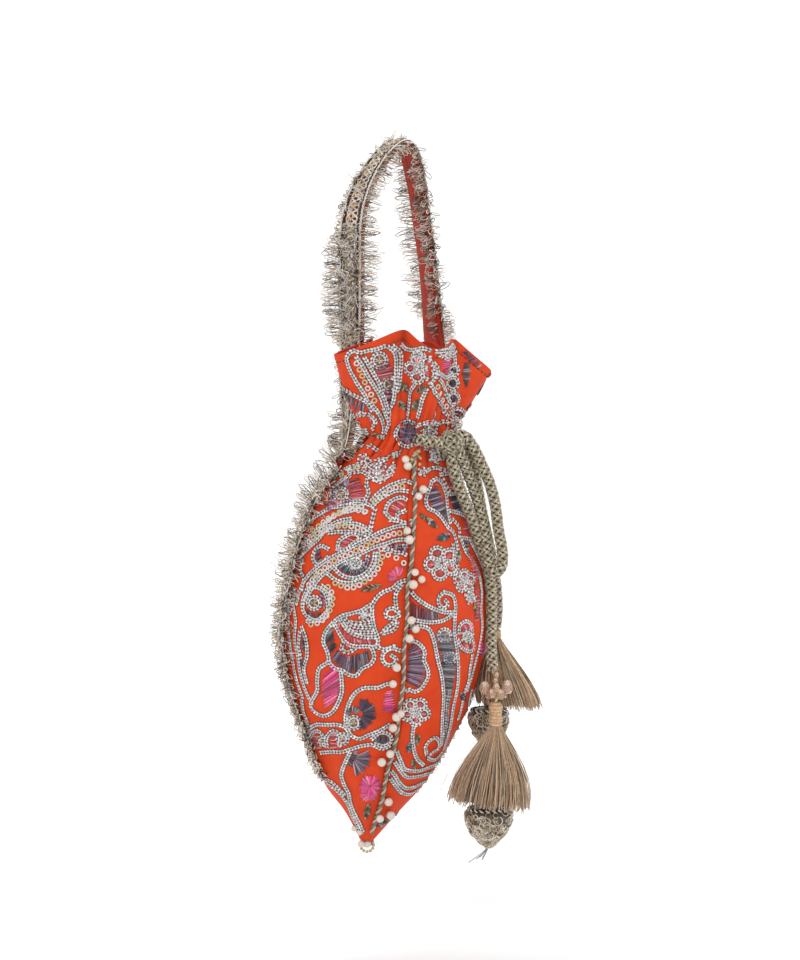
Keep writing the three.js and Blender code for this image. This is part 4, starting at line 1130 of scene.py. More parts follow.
SATIN = [  # first and last shade, one edge, the other edge
    ("maroon", "rose", [(350, 482), (350, 490), (351, 500)], [(360, 479), (363, 488), (366, 498)]),
    ("lilac", "rose", [(325, 511), (331, 504), (336, 499)], [(331, 512), (337, 508), (343, 503)]),
    ("grey", "lilac", [(338, 490), (343, 484), (349, 480)], [(342, 491), (346, 488), (350, 486)]),
    ("lilac", "grey", [(326, 506), (331, 498), (336, 489)], [(335, 503), (337, 498), (339, 491)]),
    ("rose", "lilac", [(341, 503), (346, 501), (350, 497)], [(344, 506), (350, 504), (355, 500)]),
    ("rose", "red", [(340, 547), (343, 540), (350, 536)], [(346, 548), (351, 543), (358, 538)]),
    ("red", "rose", [(388, 514), (391, 505), (398, 501)], [(394, 517), (398, 510), (405, 505)]),
    ("grey", "maroon", [(317, 552), (316, 557), (319, 562)], [(321, 549), (322, 555), (323, 560)]),
    ("teal", "purple", [(338, 567), (345, 573), (356, 575), (366, 569), (371, 560)],
     [(345, 562), (350, 567), (357, 569), (363, 564), (366, 557)]),
    ("maroon", "purple", [(391, 543), (398, 544), (406, 546)], [(390, 549), (397, 550), (404, 553)]),
    ("red", "rose", [(340, 622), (347, 632), (357, 638), (371, 639)],
     [(338, 628), (345, 638), (356, 643), (374, 644)]),
    ("teal", "dark", [(333, 629), (334, 637), (337, 646)], [(328, 634), (327, 644), (331, 653)]),
    ("purple", "grey", [(338, 650), (346, 656), (356, 654), (368, 651)],
     [(332, 657), (341, 667), (355, 672), (370, 659)]),
    ("olive", "rose", [(343, 641), (346, 641), (349, 642)], [(343, 647), (347, 648), (351, 647)]),
    ("purple", "maroon", [(319, 591), (323, 597), (325, 605)], [(324, 592), (327, 600), (326, 611)]),
    ("dark", "maroon", [(308, 610), (314, 613), (321, 612)], [(309, 615), (314, 618), (320, 617)]),
    ("dark", "teal", [(303, 633), (304, 642), (303, 650)], [(306, 633), (307, 643), (305, 652)]),
    ("purple", "dark", [(301, 659), (302, 664)], [(305, 659), (305, 666)]),
    ("magenta", "pink", [(324, 677), (322, 690), (326, 707)], [(336, 664), (341, 679), (337, 699)]),
    ("pink", "magenta", [(385, 692), (383, 701), (382, 710)], [(393, 690), (395, 700), (394, 711)]),
    ("red", "rose", [(314, 733), (314, 740), (315, 747)], [(321, 733), (322, 740), (322, 747)]),
    ("rose", "red", [(330, 733), (330, 740), (330, 747)], [(338, 733), (338, 740), (338, 746)]),
    ("teal", "purple", [(375, 737), (381, 734), (388, 736)], [(376, 741), (382, 743), (388, 741)]),
    ("dark", "grey", [(348, 762), (351, 755), (355, 749)], [(352, 766), (356, 757), (359, 750)]),
    ("purple", "grey", [(430, 489), (427, 500), (431, 508), (438, 513), (444, 522)],
     [(436, 488), (441, 496), (443, 504), (445, 511), (447, 519)]),
    ("purple", "teal", [(448, 497), (450, 504), (453, 510), (461, 512), (467, 520)],
     [(456, 496), (461, 502), (464, 508), (468, 514), (469, 519)]),
    ("red", "rose", [(433, 486), (434, 482)], [(438, 487), (438, 483)]),
    ("red", "rose", [(444, 478), (447, 486), (453, 492), (461, 500)],
     [(450, 477), (456, 485), (463, 494), (469, 503)]),
    ("rose", "red", [(463, 523), (462, 530), (462, 537)], [(471, 514), (475, 525), (477, 537)]),
    ("teal", "grey", [(462, 541), (463, 547), (465, 553)], [(467, 541), (468, 547), (468, 553)]),
    ("red", "rose", [(466, 556), (470, 566), (473, 579)], [(470, 553), (475, 563), (478, 577)]),
    ("red", "rose", [(472, 585), (474, 600), (474, 620)], [(477, 585), (479, 600), (479, 620)]),
    ("maroon", "grey", [(412, 602), (420, 606), (430, 611), (437, 613)],
     [(411, 617), (420, 619), (430, 620), (438, 618)]),
    ("grey", "teal", [(434, 634), (438, 650), (441, 668), (445, 690), (445, 712), (442, 738)],
     [(452, 634), (454, 650), (455, 670), (452, 690), (449, 708), (444, 738)]),
    ("red", "pink", [(459, 626), (462, 624), (468, 624)], [(460, 632), (464, 630), (470, 631)]),
    ("red", "rose", [(459, 641), (465, 643), (471, 641)], [(461, 647), (466, 650), (471, 647)]),
    ("magenta", "pink", [(477, 643), (478, 655)], [(482, 643), (481, 655)]),
    ("purple", "lilac", [(406, 648), (406, 660), (406, 670), (407, 680)],
     [(413, 643), (422, 653), (425, 669), (419, 687)]),
    ("dark", "olive", [(376, 824), (384, 818), (392, 812)], [(380, 827), (388, 820), (396, 813)]),
    ("maroon", "rose", [(372, 366), (374, 373), (378, 380)], [(388, 361), (392, 370), (395, 378)]),
    ("maroon", "purple", [(381, 389), (385, 397), (389, 406)], [(394, 387), (394, 396), (391, 407)]),
    ("teal", "purple", [(344, 388), (352, 396), (362, 402), (369, 407)],
     [(346, 395), (354, 405), (362, 410), (368, 412)]),
    ("magenta", "purple", [(337, 386), (340, 392), (342, 396)], [(342, 384), (344, 389), (346, 393)]),
    ("rose", "red", [(364, 416), (367, 415), (372, 419)], [(366, 421), (369, 421), (372, 423)]),
    ("dark", "dark", [(401, 420), (408, 419), (416, 420)], [(402, 424), (409, 424), (416, 424)]),
    ("pink", "magenta", [(440, 360), (440, 366), (442, 372)], [(449, 360), (449, 366), (447, 372)]),
    ("teal", "dark", [(464, 363), (462, 373), (465, 386)], [(469, 363), (470, 373), (467, 386)]),
    ("purple", "rose", [(462, 352), (470, 360), (477, 368)], [(467, 350), (475, 357), (481, 365)]),
    ("purple", "lilac", [(400, 440), (398, 433), (402, 427)], [(413, 442), (416, 434), (413, 427)]),
]
FANS = [  # first and last shade, centre, inner and outer radius, first and last degrees clockwise
    ("pink", "rose", 398, 577, 1, 11, 150, 300),
    ("purple", "dark", 359, 713, 4, 17, -85, 85),
    ("dark", "grey", 353, 714, 3, 9, 200, 330),
    ("dark", "lilac", 353, 757, 3, 18, -25, 80),
    ("pink", "magenta", 370, 785, 1, 11, 0, 360),
    ("pink", "magenta", 369, 792, 1, 9, 20, 170),
    ("purple", "lilac", 408, 434, 2, 11, 0, 360),
]
FLOWERS = [  # centre, radius, petals, turn in degrees
    (379, 473, 10, 5, 10), (391, 468, 5, 4, 40), (356, 563, 7, 6, 0), (441, 563, 17, 5, 28),
    (463, 581, 11, 5, 50),
    (415, 711, 14, 5, 15), (466, 636, 6, 5, 0), (421, 368, 15, 5, 35), (419, 354, 6, 5, 0),
    (446, 351, 8, 5, 20),
    (428, 431, 8, 5, 0), (436, 456, 7, 5, 0), (469, 597, 6, 4, 20),
]
ROSETTES = [  # centre, radius, shade of the middle
    (342, 495, 6, "gilt"), (315, 603, 6, "gilt"), (354, 722, 6, "gilt"), (343, 738, 5, "gilt"),
    (323, 740, 4, "gilt"),
    (444, 635, 6, "gilt"), (449, 658, 5, "grey"), (379, 360, 7, "gilt"), (390, 384, 7, "gilt"),
    (452, 370, 5, "dark"),
    (451, 383, 6, "dark"), (452, 398, 6, "dark"), (457, 413, 5, "maroon"), (363, 459, 4, "rose"),
    (422, 472, 3, "rose"),
    (364, 615, 4, "white"), (408, 434, 13, "lilac"),
]
LEAVES = [  # shade, stem end, tip, half width
    ("olive", 382, 585, 362, 590, 3.5), ("olive", 424, 517, 435, 527, 3.5), ("olive", 420, 513, 423, 519, 2),
    ("teal", 449, 535, 437, 539, 4), ("olive", 459, 551, 455, 564, 3), ("olive", 369, 802, 366, 817, 3.5),
    ("olive", 418, 733, 416, 743, 2.5), ("teal", 410, 741, 407, 751, 2.5), ("olive", 411, 758, 414, 767, 2),
    ("olive", 400, 382, 408, 391, 4), ("olive", 417, 392, 427, 386, 3.5), ("olive", 397, 401, 406, 409, 4),
    ("olive", 414, 410, 419, 399, 3), ("olive", 372, 432, 380, 438, 3), ("dark", 459, 692, 464, 700, 3),
    ("olive", 474, 603, 476, 612, 2.5),
]


def chart_path(points, count):
    """So many chart points, evenly spaced on a smooth curve through the given ones."""
    if len(points) == 2:
        return np.linspace(*np.array(points, float), count)
    return smooth_path(np.c_[points, np.zeros(len(points))], count)[:, :2]


def chart_curve(points, gap=1.0):
    """Chart points about a gap apart on a smooth curve through the given ones."""
    rough = chart_path(points, 2 if len(points) == 2 else 60)
    return chart_path(points, max(int(path_length(rough) / gap), min(len(points), 3)))


def in_view(points_mm):
    """Chart points of places on the bag, seen from the front view."""
    ray = points_mm * MM - view_eye
    depth = -ray @ view_back
    right = VIEW_MIDDLE[0] + VIEW_SCALE * (ray @ view_right) / depth
    down = VIEW_MIDDLE[1] - VIEW_SCALE * (ray @ np.cross(view_back, view_right)) / depth
    return np.stack((right, down), axis=-1)


def drop_on_cloth(chart):
    """Angle and row on the cloth under each chart point: the nearest of a grid, then closed in on."""
    rows, angles = np.meshgrid(np.linspace(0.01, 0.99, 120), np.arange(255.0, 430.0, 2.0), indexing="ij")
    point, step, up, outward = cloth_frame(angles, rows)
    seen = in_view(point)
    turned_away = (outward @ view_back) < 0.02
    seen[turned_away] = 1e6
    seen, rows, angles = seen.reshape(-1, 2), rows.ravel(), angles.ravel()
    nearest = np.concatenate([
        ((part[:, None] - seen[None]) ** 2).sum(axis=-1).argmin(axis=1) for part in np.array_split(chart, 80)
    ])
    angle, row = angles[nearest], rows[nearest]
    for _ in range(7):
        here = in_view(cloth_point(angle, row))
        by_angle = (in_view(cloth_point(angle + 0.3, row)) - here) / 0.3
        by_row = (in_view(cloth_point(angle, row + 0.002)) - here) / 0.002
        miss = chart - here
        spread = by_angle[:, 0] * by_row[:, 1] - by_angle[:, 1] * by_row[:, 0]
        spread = np.where(np.abs(spread) < 20, 20 * np.sign(spread + 1e-9), spread)
        turn = (miss[:, 0] * by_row[:, 1] - miss[:, 1] * by_row[:, 0]) / spread
        lift = (by_angle[:, 0] * miss[:, 1] - by_angle[:, 1] * miss[:, 0]) / spread
        angle = np.clip(angle + np.clip(turn, -1.5, 1.5), 254, 431)
        row = np.clip(row + np.clip(lift, -0.01, 0.01), 0.006, 0.994)
    return angle, row


def circle(x, y, radius, first=0, last=360, steps=24):
    turn = np.radians(np.linspace(first, last, steps))
    return np.stack((x + radius * np.cos(turn), y + radius * np.sin(turn)), axis=1)


def between(first_shade, last_shade, share):
    first_shade, last_shade = np.array(SHADES[first_shade]), np.array(SHADES[last_shade])
    return first_shade + (last_shade - first_shade) * share[:, None]


chain_charts = [chart_curve(points) for points in CHAINS]
strand_charts, strand_shades = [], []
for first_shade, last_shade, one, other in SATIN:
    length = max(path_length(chart_curve(edge)) for edge in (one, other))
    count = max(int(length / (2 * SATIN_PITCH)), 3)
    ends = [chart_path(edge, count) for edge in (one, other)]
    ends = [edge + rng.normal(0, 0.5, edge.shape) for edge in ends]
    strand_charts.append(np.stack(ends, axis=1))
    strand_shades.append(between(first_shade, last_shade, np.linspace(0, 1, count)))
for first_shade, last_shade, x, y, inner, outer, first, last in FANS:
    count = int(math.radians(last - first) * 0.75 * outer / (1.5 * SATIN_PITCH))
    ragged = outer * rng.uniform(0.82, 1.05, (count, 1))
    rays = circle(x, y, 1, first, last, count) - (x, y)
    strand_charts.append(np.array((x, y)) + np.stack((inner * rays, ragged * rays), axis=1))
    strand_shades.append(between(first_shade, last_shade, rng.uniform(0, 1, count)))
for x, y, radius, petals, turn in FLOWERS:
    middle = np.array((x, y))
    for petal in range(petals):
        way = math.radians(turn + 360 * petal / petals)
        out = np.array((math.cos(way), math.sin(way)))
        wide = np.array((-out[1], out[0])) * radius * 0.38
        root, tip = middle + out * radius * 0.2, middle + out * radius
        shoulder, crown = tip - out * radius * 0.42, tip - out * 0.08 * radius
        petal_points = [root, shoulder + wide, crown + 0.5 * wide, crown - 0.5 * wide, shoulder - wide, root]
        chain_charts.append(chart_curve(petal_points))
        if radius > 9:
            for sway in (-0.3, 0.0, 0.3):
                vein = middle + out * radius * 0.35, tip - out * radius * 0.25 + sway * wide
                strand_charts.append(np.stack(vein)[None])
                strand_shades.append(np.array([SHADES["rose"]]))
for x, y, radius, shade in ROSETTES:
    chain_charts.append(circle(x, y, radius))
    if radius < 10:
        count = max(int(radius * 1.6), 5)
        spokes = circle(x, y, radius * 0.66, 0, 360 - 360 / count, count)
        strand_charts.append(np.stack((np.tile((x, y), (count, 1)), spokes), axis=1))
        strand_shades.append(np.tile(SHADES[shade], (count, 1)))
for shade, x, y, tip_x, tip_y, half in LEAVES:
    count = 9
    share = np.linspace(0.04, 0.9, count)[:, None]
    stem, tip = np.array((x, y), float), np.array((tip_x, tip_y), float)
    wide = unit(np.array((-(tip - stem)[1], (tip - stem)[0]))) * half
    for side in (-1, 1):
        start = stem + (tip - stem) * share
        end = start + (tip - stem) * 0.16 + side * wide * np.sin(np.pi * np.clip(share, 0.12, 1) ** 0.8)
        strand_charts.append(np.stack((start, end), axis=1))
        strand_shades.append(np.array(SHADES[shade]) * rng.uniform(0.7, 1.3, (count, 1)))
ring_charts = np.concatenate([chart_curve(points, RING_GAP) for points in RING_ROWS])
strand_charts, strand_shades = np.concatenate(strand_charts), np.concatenate(strand_shades)
streaks = rng.choice((0.25, 0.6, 1.0, 1.7), (len(strand_shades), 1))
streaks = np.where(strand_shades.max(axis=1, keepdims=True) > 0.5, 0.6 + 0.4 * streaks, streaks)
glints = rng.uniform(0, 1, (len(strand_shades), 1)) > 0.85
strand_shades = strand_shades * streaks + glints * GLINT

strand_ends = strand_charts.reshape(-1, 2)
breaks = np.cumsum([len(chart) for chart in (*chain_charts, strand_ends)])
chart_angle, chart_row = drop_on_cloth(np.concatenate((*chain_charts, strand_ends, ring_charts)))
*chain_angles, strand_angle, ring_angle = np.split(chart_angle, breaks)
*chain_rows, strand_row, ring_row = np.split(chart_row, breaks)
strand_angle, strand_row = strand_angle.reshape(-1, 2), strand_row.reshape(-1, 2)

GRAIN = (  # a short plump stitch, flat below, one long and one across each way
    np.array([(-0.5, 0, 0), (-0.2, 0.5, 0), (-0.2, 0, 0.5), (-0.2, -0.5, 0),
              (0.2, 0.5, 0), (0.2, 0, 0.5), (0.2, -0.5, 0), (0.5, 0, 0)]),
    np.array([(0, 2, 1), (0, 3, 2), (0, 1, 3), (1, 2, 5), (1, 5, 4), (2, 3, 6),
              (2, 6, 5), (3, 1, 4), (3, 4, 6), (7, 4, 5), (7, 5, 6), (7, 6, 4)]),
)
GRAIN_PAINTED_LIGHT = np.array((0.72, 1, 1.06, 1, 1, 1.06, 1, 0.72))[:, None]  # painted shade at the tips, where grains meet, and a painted highlight on top
PLATE = np.array([(-0.5, 0, 0), (0, -0.5, 0), (0.5, 0, 0), (0, 0.5, 0)]), np.array([(0, 1, 2), (0, 2, 3)])
PATCH = np.array([(-0.5, -0.5, 0), (0.5, -0.5, 0), (0.5, 0.5, 0), (-0.5, 0.5, 0)]), PLATE[1]
EMBROIDERY = thread_material("embroidery_thread", 0.5, 0.0, 0.2, 1800)


def chain_stitch(angle, row):
    """Links along a line on the cloth: places, axes and angles of the slanted grains, then of the eyes, which
    are painted shade, then the places and axes of the painted shadow under each link."""
    path = cloth_point(angle, row)
    reach = np.r_[0, np.cumsum(np.linalg.norm(np.diff(path, axis=0), axis=1))]
    at = np.linspace(0, reach[-1], max(int(reach[-1] / CHAIN_PITCH), 2))
    angle, row = np.interp(at, reach, angle), np.interp(at, reach, row)
    point, step, up, outward = cloth_frame(angle, row)
    along = unit(np.gradient(point, axis=0))
    across = unit(np.cross(outward, along))
    places, axes = [], []
    for side in (-1, 1):
        slant = CHAIN_SLANT * side
        long = along * math.cos(slant) - across * math.sin(slant)
        wide = np.cross(outward, long)
        places.append(point + across * (0.42 * CHAIN_WIDTH * side) + outward * STITCH_LIFT)
        grain = (way * size for way, size in zip((long, wide, outward), GRAIN_SIZE))
        axes.append(np.stack(tuple(grain), axis=1))
    grains = np.concatenate(places), np.concatenate(axes), np.r_[angle, angle]
    eye_axes = np.stack((along * EYE_SIZE[0], across * EYE_SIZE[1], outward), axis=1)
    eyes = point + along * 0.5 * CHAIN_PITCH + outward * (STITCH_LIFT + EYE_LIFT), eye_axes, angle
    shadow_axes = np.stack((along * 1.1 * CHAIN_PITCH, across * CHAIN_SHADOW_WIDTH, outward), axis=1)
    return *grains, *eyes, point + outward * ON_SILK, shadow_axes


WORKED = {  # gore: copies of the chart, each a way to carry an angle over and the angles kept
    "panel_front_left": [(lambda a: a, 256, 360)],
    "panel_front_right": [(lambda a: a - 360, 0, 71), (lambda a: 71 + (431 - a) * 51 / 71, 71, 122)],
    "panel_back_left": [(lambda a: 256 - (a - 256) * 67 / 104, 189, 256)],
    "panel_back_right": [(lambda a: 189 - (a - 360) * 67 / 71, 122, 189)],
}
for gore_name, carried in WORKED.items():
    parts = []
    for carry, first, last in carried:
        low, high = first + SEAM_EDGE, last - SEAM_EDGE
        stitched = [chain_stitch(carry(angle), row) for angle, row in zip(chain_angles, chain_rows)]
        columns = [np.concatenate(column) for column in zip(*stitched)]
        # edges holds the places of the painted shadow under the links; eyes carry painted shade.
        places, axes, angle, eyes, eye_axes, eye_angle, edges, shadow_axes = columns
        inside = (eye_angle > low) & (eye_angle < high)
        parts.append((*copies(PATCH, edges[inside], 1, shadow_axes[inside]), CHAIN_SHADOW))
        parts.append((*copies(PLATE, eyes[inside], 1, eye_axes[inside]), CHAIN_EYE_SHADE))
        inside = (angle > low) & (angle < high)
        count = inside.sum()
        corners, faces = copies(GRAIN, places[inside], 1, axes[inside])
        shades = pick(CHAIN_SHADES, count) * rng.uniform(0.7, 1.08, (count, 1))
        parts.append((corners, faces, per_thread(shades, corners) * np.tile(GRAIN_PAINTED_LIGHT, (count, 1))))
        ends = carry(strand_angle)
        middle = ends.mean(axis=1)
        inside = (middle > low) & (middle < high)
        ends = np.clip(ends[inside], low, high)
        strand = np.linspace(*ends.T, 5, axis=1), np.linspace(*strand_row[inside].T, 5, axis=1)
        point, step, up, outward = cloth_frame(*strand)
        rounded = STITCH_LIFT - 0.1 + 0.3 * np.sin(np.pi * np.linspace(0.06, 0.94, 5))
        paths = point + outward * rounded[:, None]
        corners, faces = tubes(paths, SATIN_THREAD * SATIN_TAPER, 3, facing=outward[:, 2])
        parts.append((corners, faces, per_thread(strand_shades[inside], corners)))
        angle = carry(ring_angle)
        inside = (angle > low) & (angle < high)
        point, step, up, outward = cloth_frame(angle[inside], ring_row[inside])
        axes = np.stack((step, np.cross(outward, step), outward), axis=1)
        corners, faces = copies(RING_SHAPE, point + outward * (STITCH_LIFT + 0.15), RING_RADIUS, axes)
        parts.append((corners, faces, per_thread(pick(RING_SHADES, inside.sum()), corners)))
    first, last, pleats = GORES[gore_name]
    stitches = np.arange(first + 2, last - 2, HEM_PITCH)[:, None] + HEM_STITCH
    point, step, up, outward = cloth_frame(stitches, np.full(stitches.shape, HEM_ROW - HEM_STEP))
    hem_paths = point + outward * ON_SILK
    parts.append((*tubes(hem_paths, HEM_THREAD_RADIUS, 3, facing=outward[:, 1]), HEM_THREAD))
    worked = mesh_piece(gore_name.replace("panel", "embroidery"), EMBROIDERY, *joined(parts))
    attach(worked, "root")

# Drawstring: a round eight-strand braid of olive-gold thread. It comes out of the neck casing in two
# short stretches, is tied in one knot, and hangs as a loop and two tails.
CORD_RADIUS = 3.1
BRAID_PITCH = 12.5
BRAID_STEP = 0.65
YARN_RADIUS = 0.18  # of the cord's radius, as is the next
CORE_RADIUS = 0.62
TIED_TURN = math.radians(-18)
KNOT = (25.4, -35.4, -145.5)
KNOT_TURNS = 2.4
KNOT_HEIGHT = 5.2
KNOT_WRAPS = ((0.35, 4.3, 2.7), (1.9, 4.0, 2.6))  # tilt, radius of the wrap, radius of its cord
LOOP = [
    (27, -36, -141.5), (31.5, -36.2, -142), (35.4, -34.8, -146.8), (39.8, -32.4, -155.6), (44.4, -30, -166.9),
    (46.9, -28, -177), (48.4, -26.8, -188.3), (50.4, -26, -199.4), (50.2, -25.6, -206.5),
    (47.2, -25.3, -210.2), (44.4, -25, -206), (43.4, -25.2, -199.4), (41.9, -25.6, -188.3),
    (38.9, -27.4, -176.5), (35.8, -29.6, -166.9), (31.8, -33.2, -156.6), (29, -36.4, -150), (27, -36.6, -147),
]
TAIL_FRONT = [
    (25, -35.6, -147.4), (25.2, -36, -152.4), (26.6, -35.6, -160), (30.4, -32.6, -171), (35, -28.6, -182),
    (39.6, -22.6, -196), (43.8, -17.4, -210), (45.5, -14, -225), (45.4, -12.5, -240), (45.4, -13.5, -251),
    (46.4, -15.8, -260),
]
TAIL_REAR = [
    (28.4, -32, -145.4), (32.3, -29.8, -148.9), (35.4, -25.2, -156), (38.2, -20, -168), (40.6, -15.4, -181),
    (44, -11.6, -196), (46.8, -8, -210), (48.4, -4.6, -222), (48.8, -1, -232), (48.2, 2.4, -240),
]
CASING_RADIUS = 26.6
CASING_Z = -143
CASING_STRETCHES = ((-8, 30), (84, 52))  # degrees round the neck, from the casing to the knot
CORD_SHADES = np.array([(0.4, 0.335, 0.225), (0.13, 0.1, 0.058), (0.7, 0.62, 0.46), (0.06, 0.045, 0.024)])
# The braid's near-black core is painted shade, showing in the gaps between the strands.
CORD_CORE_SHADE = (0.03, 0.025, 0.014)
CORD_THREAD = thread_material("cord_thread", 0.5, 0.25, 0.1, 2200)


def tied(points):
    """Turns points of the tied side, right and behind it, into the bag's frame."""
    x, y, z = np.moveaxis(np.asarray(points, float), -1, 0)
    c, s = math.cos(TIED_TURN), math.sin(TIED_TURN)
    return np.stack((c * x - s * y, s * x + c * y, z), axis=-1)


def braid(path, radius):
    """A round braid along a path: two yarns in each of eight strands that pass over and under."""
    along, side, other = path_frames(path)
    wind = 2 * np.pi * np.linspace(0, path_length(path) / BRAID_PITCH, len(path))[:, None]
    parts = [(*tubes(path[None], CORE_RADIUS * radius, 6, facing=side[None]), CORD_CORE_SHADE)]
    for direction in (1, -1):
        over = 0.5 + 0.5 * direction * np.cos(4 * wind)
        reach = radius * (0.64 + 0.18 * over)
        for strand in range(4):
            for yarn in (-1, 1):
                turn = direction * wind + strand * np.pi / 2 + yarn * 0.21
                ray = np.cos(turn) * side + np.sin(turn) * other
                corners, faces = tubes((path + ray * reach)[None], YARN_RADIUS * radius, 3, facing=ray[None])
                # Painted shade where a yarn passes under, and painted highlight where it passes over.
                shade = CORD_SHADES[(2 * strand + yarn + direction) % 4] * (0.1 + over)
                parts.append((corners, faces, np.repeat(shade, 3, axis=0)))
    return parts


def cord_piece(name, node, points):
    """A free length of the drawstring: the piece, its centreline and its length in millimetres."""
    length = path_length(smooth_path(tied(points), 200))
    path = smooth_path(tied(points), int(length / BRAID_STEP))
    piece = mesh_piece(name, CORD_THREAD, *joined(braid(path, CORD_RADIUS)))
    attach(piece, "root")
    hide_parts(node)
    return piece, path, length


cord_loop = cord_piece("cord_loop", "drawstring_loop", LOOP)
cord_tails = {
    "tassel_front": cord_piece("cord_tail_front", "drawstring_tail_front", TAIL_FRONT),
    "tassel_rear": cord_piece("cord_tail_rear", "drawstring_tail_rear", TAIL_REAR),
}

neck_x, neck_y = SECTIONS[-1, 3:]
knot_parts = []
for first, last in CASING_STRETCHES:
    turn = np.radians(np.linspace(first, last, 8))
    drop = np.linspace(CASING_Z, KNOT[2], 8)
    stretch = (neck_x + CASING_RADIUS * np.sin(turn), neck_y - CASING_RADIUS * np.cos(turn), drop)
    knot_parts += braid(smooth_path(np.stack(stretch, axis=1), 48), CORD_RADIUS)
wrap = np.linspace(0, 2 * np.pi * KNOT_TURNS, 90)
for tilt, radius, thick in KNOT_WRAPS:
    x, y, z = radius * np.cos(wrap), 0.95 * radius * np.sin(wrap), KNOT_HEIGHT * (wrap / wrap[-1] - 0.5)
    c, s = math.cos(tilt), math.sin(tilt)
    ring = np.stack((x, c * y - s * z, s * y + c * z), axis=1)
    knot_parts += braid(tied(ring + KNOT), thick)
knot = mesh_piece("cord_knot", CORD_THREAD, *joined(knot_parts))
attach(knot, "root")
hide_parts("drawstring_knot")

# Tassels: beige silk threads bound over a wound head, with a stuffed lace bud hanging under the skirt.
# The front one hangs from a thread with a crown of peach crystals.
TASSELS = {
    "tassel_front": dict(
        x=47.6, y=-17, top=-275.4, head=12, radius=3.4, skirt=40, spread=21, lean=-3.5, tilt=0.06,
        bud=11.6, bud_height=20, shift=-3.5, strands=1100,
    ),
    "tassel_rear": dict(
        x=48.2, y=3.4, top=-241.6, head=4, radius=2.8, skirt=35, spread=17, lean=6.5, tilt=0.04,
        bud=10, bud_height=20, shift=-3.5, strands=800,
    ),
}
SILK_TANS = np.array([
    (0.72, 0.47, 0.27), (0.52, 0.32, 0.17), (0.95, 0.74, 0.49), (0.15, 0.08, 0.036), (0.66, 0.43, 0.24),
])
WOUND_TANS = SILK_TANS[[4, 0, 1]]
# Cores under the head's winding and inside the skirt are painted this dark tan, as shade between the threads.
SHADED_CORE_TAN = SILK_TANS[3]
LOOSE_GREY = (0.3, 0.29, 0.3)
BUD_GOLDS = np.array([(0.82, 0.71, 0.55), (0.58, 0.47, 0.33), (0.93, 0.86, 0.74)])
BUD_CORE_SHADE = (0.13, 0.1, 0.065)
HEAD_PROFILE = np.array([(-1, 0.8), (-0.72, 1), (-0.5, 0.82), (-0.2, 1), (0, 0.62)])  # height, radius
BUD_PROFILE = np.array([  # height, radius
    (-1, 0.02), (-0.9, 0.3), (-0.66, 0.72), (-0.38, 0.96), (-0.16, 1), (-0.03, 0.84), (0, 0.6),
])
WOUND_PITCH = 0.55
WOUND_THREAD = 0.36
WOUND_STEPS = 20
SKIRT_FLARE = 1.1
SKIRT_THREAD = 0.21
STRAY_THREAD = 0.1
BUD_THREAD = 0.26
BUD_RIM = 0.86
LOOSE_ENDS = 5
LOOSE_THREAD = 0.24
SILK_THREAD = thread_material("tassel_silk", 0.38, 0.0, 0.3, 900)


def wound_head(tassel):
    """A core with thread wound round it from top to bottom."""
    turns = int(tassel["head"] / WOUND_PITCH)
    height = np.linspace(0, -1, turns * WOUND_STEPS)
    wide = tassel["radius"] * np.interp(height, *HEAD_PROFILE.T)
    turn = np.linspace(0, 2 * np.pi * turns, len(height))
    winding = np.stack((wide * np.cos(turn), wide * np.sin(turn), height * tassel["head"]), axis=1)
    corners, faces = tubes(winding[None], WOUND_THREAD, 4, facing=(0, 0, 1))
    core = np.stack((0 * height, 0 * height, height * tassel["head"]), axis=1)[::10]
    wound = per_thread(WOUND_TANS[np.arange(turns) % 3], corners)
    # the core under the winding is painted dark, as shade between the turns
    return [(corners, faces, wound), (*tubes(core[None], (wide - 0.2)[::10], 12), SHADED_CORE_TAN)]


def skirt_threads(tassel):
    """Silk threads that fall from the head and spread, longest on the outside."""
    count = tassel["strands"]
    drop = np.linspace(0, 1, 7)
    share = np.sqrt(rng.uniform(0.12, 1, count))
    stray = rng.uniform(0, 1, count) > 0.955
    turn = rng.uniform(0, 2 * np.pi, count)[:, None] + rng.normal(0, 0.1, count)[:, None] * drop
    flare = np.sin(drop * np.pi / 2) ** SKIRT_FLARE
    top = 0.85 * tassel["radius"] * share
    reach = np.where(stray, rng.uniform(1.06, 1.26, count), rng.uniform(0.92, 1.02, count))
    bottom = tassel["spread"] * share * reach
    wide = top[:, None] + (bottom - top)[:, None] * flare
    wide = wide + 0.5 * np.sin(5 * drop + rng.uniform(0, 6, count)[:, None]) * drop
    fall = -tassel["skirt"] * (rng.uniform(0.9, 1.0, count) - 0.05 * (1 - share))[:, None] * drop
    fall = fall * (1 + tassel["tilt"] * share[:, None] * np.cos(turn))
    lean = tassel["lean"] * drop ** 1.4
    paths = np.stack((wide * np.cos(turn) + lean, wide * np.sin(turn), fall), axis=-1)
    corners, faces = tubes(paths, np.where(stray, STRAY_THREAD, SKIRT_THREAD)[:, None], 3)
    shades = pick(SILK_TANS, count) * rng.uniform(0.7, 1.2, (count, 1))
    core = np.stack((lean, 0 * drop, -0.93 * tassel["skirt"] * drop), axis=1)
    core_radius = 0.74 * (top.max() + (tassel["spread"] - top.max()) * flare)
    # a core painted darker still, as shade inside the skirt
    core_part = (*tubes(core[None], core_radius, 20), SHADED_CORE_TAN * 0.7)
    return [(corners, faces, per_thread(shades, corners)), core_part]


def bud_radius(tassel, height):
    return tassel["bud"] * np.interp(height, *BUD_PROFILE.T)


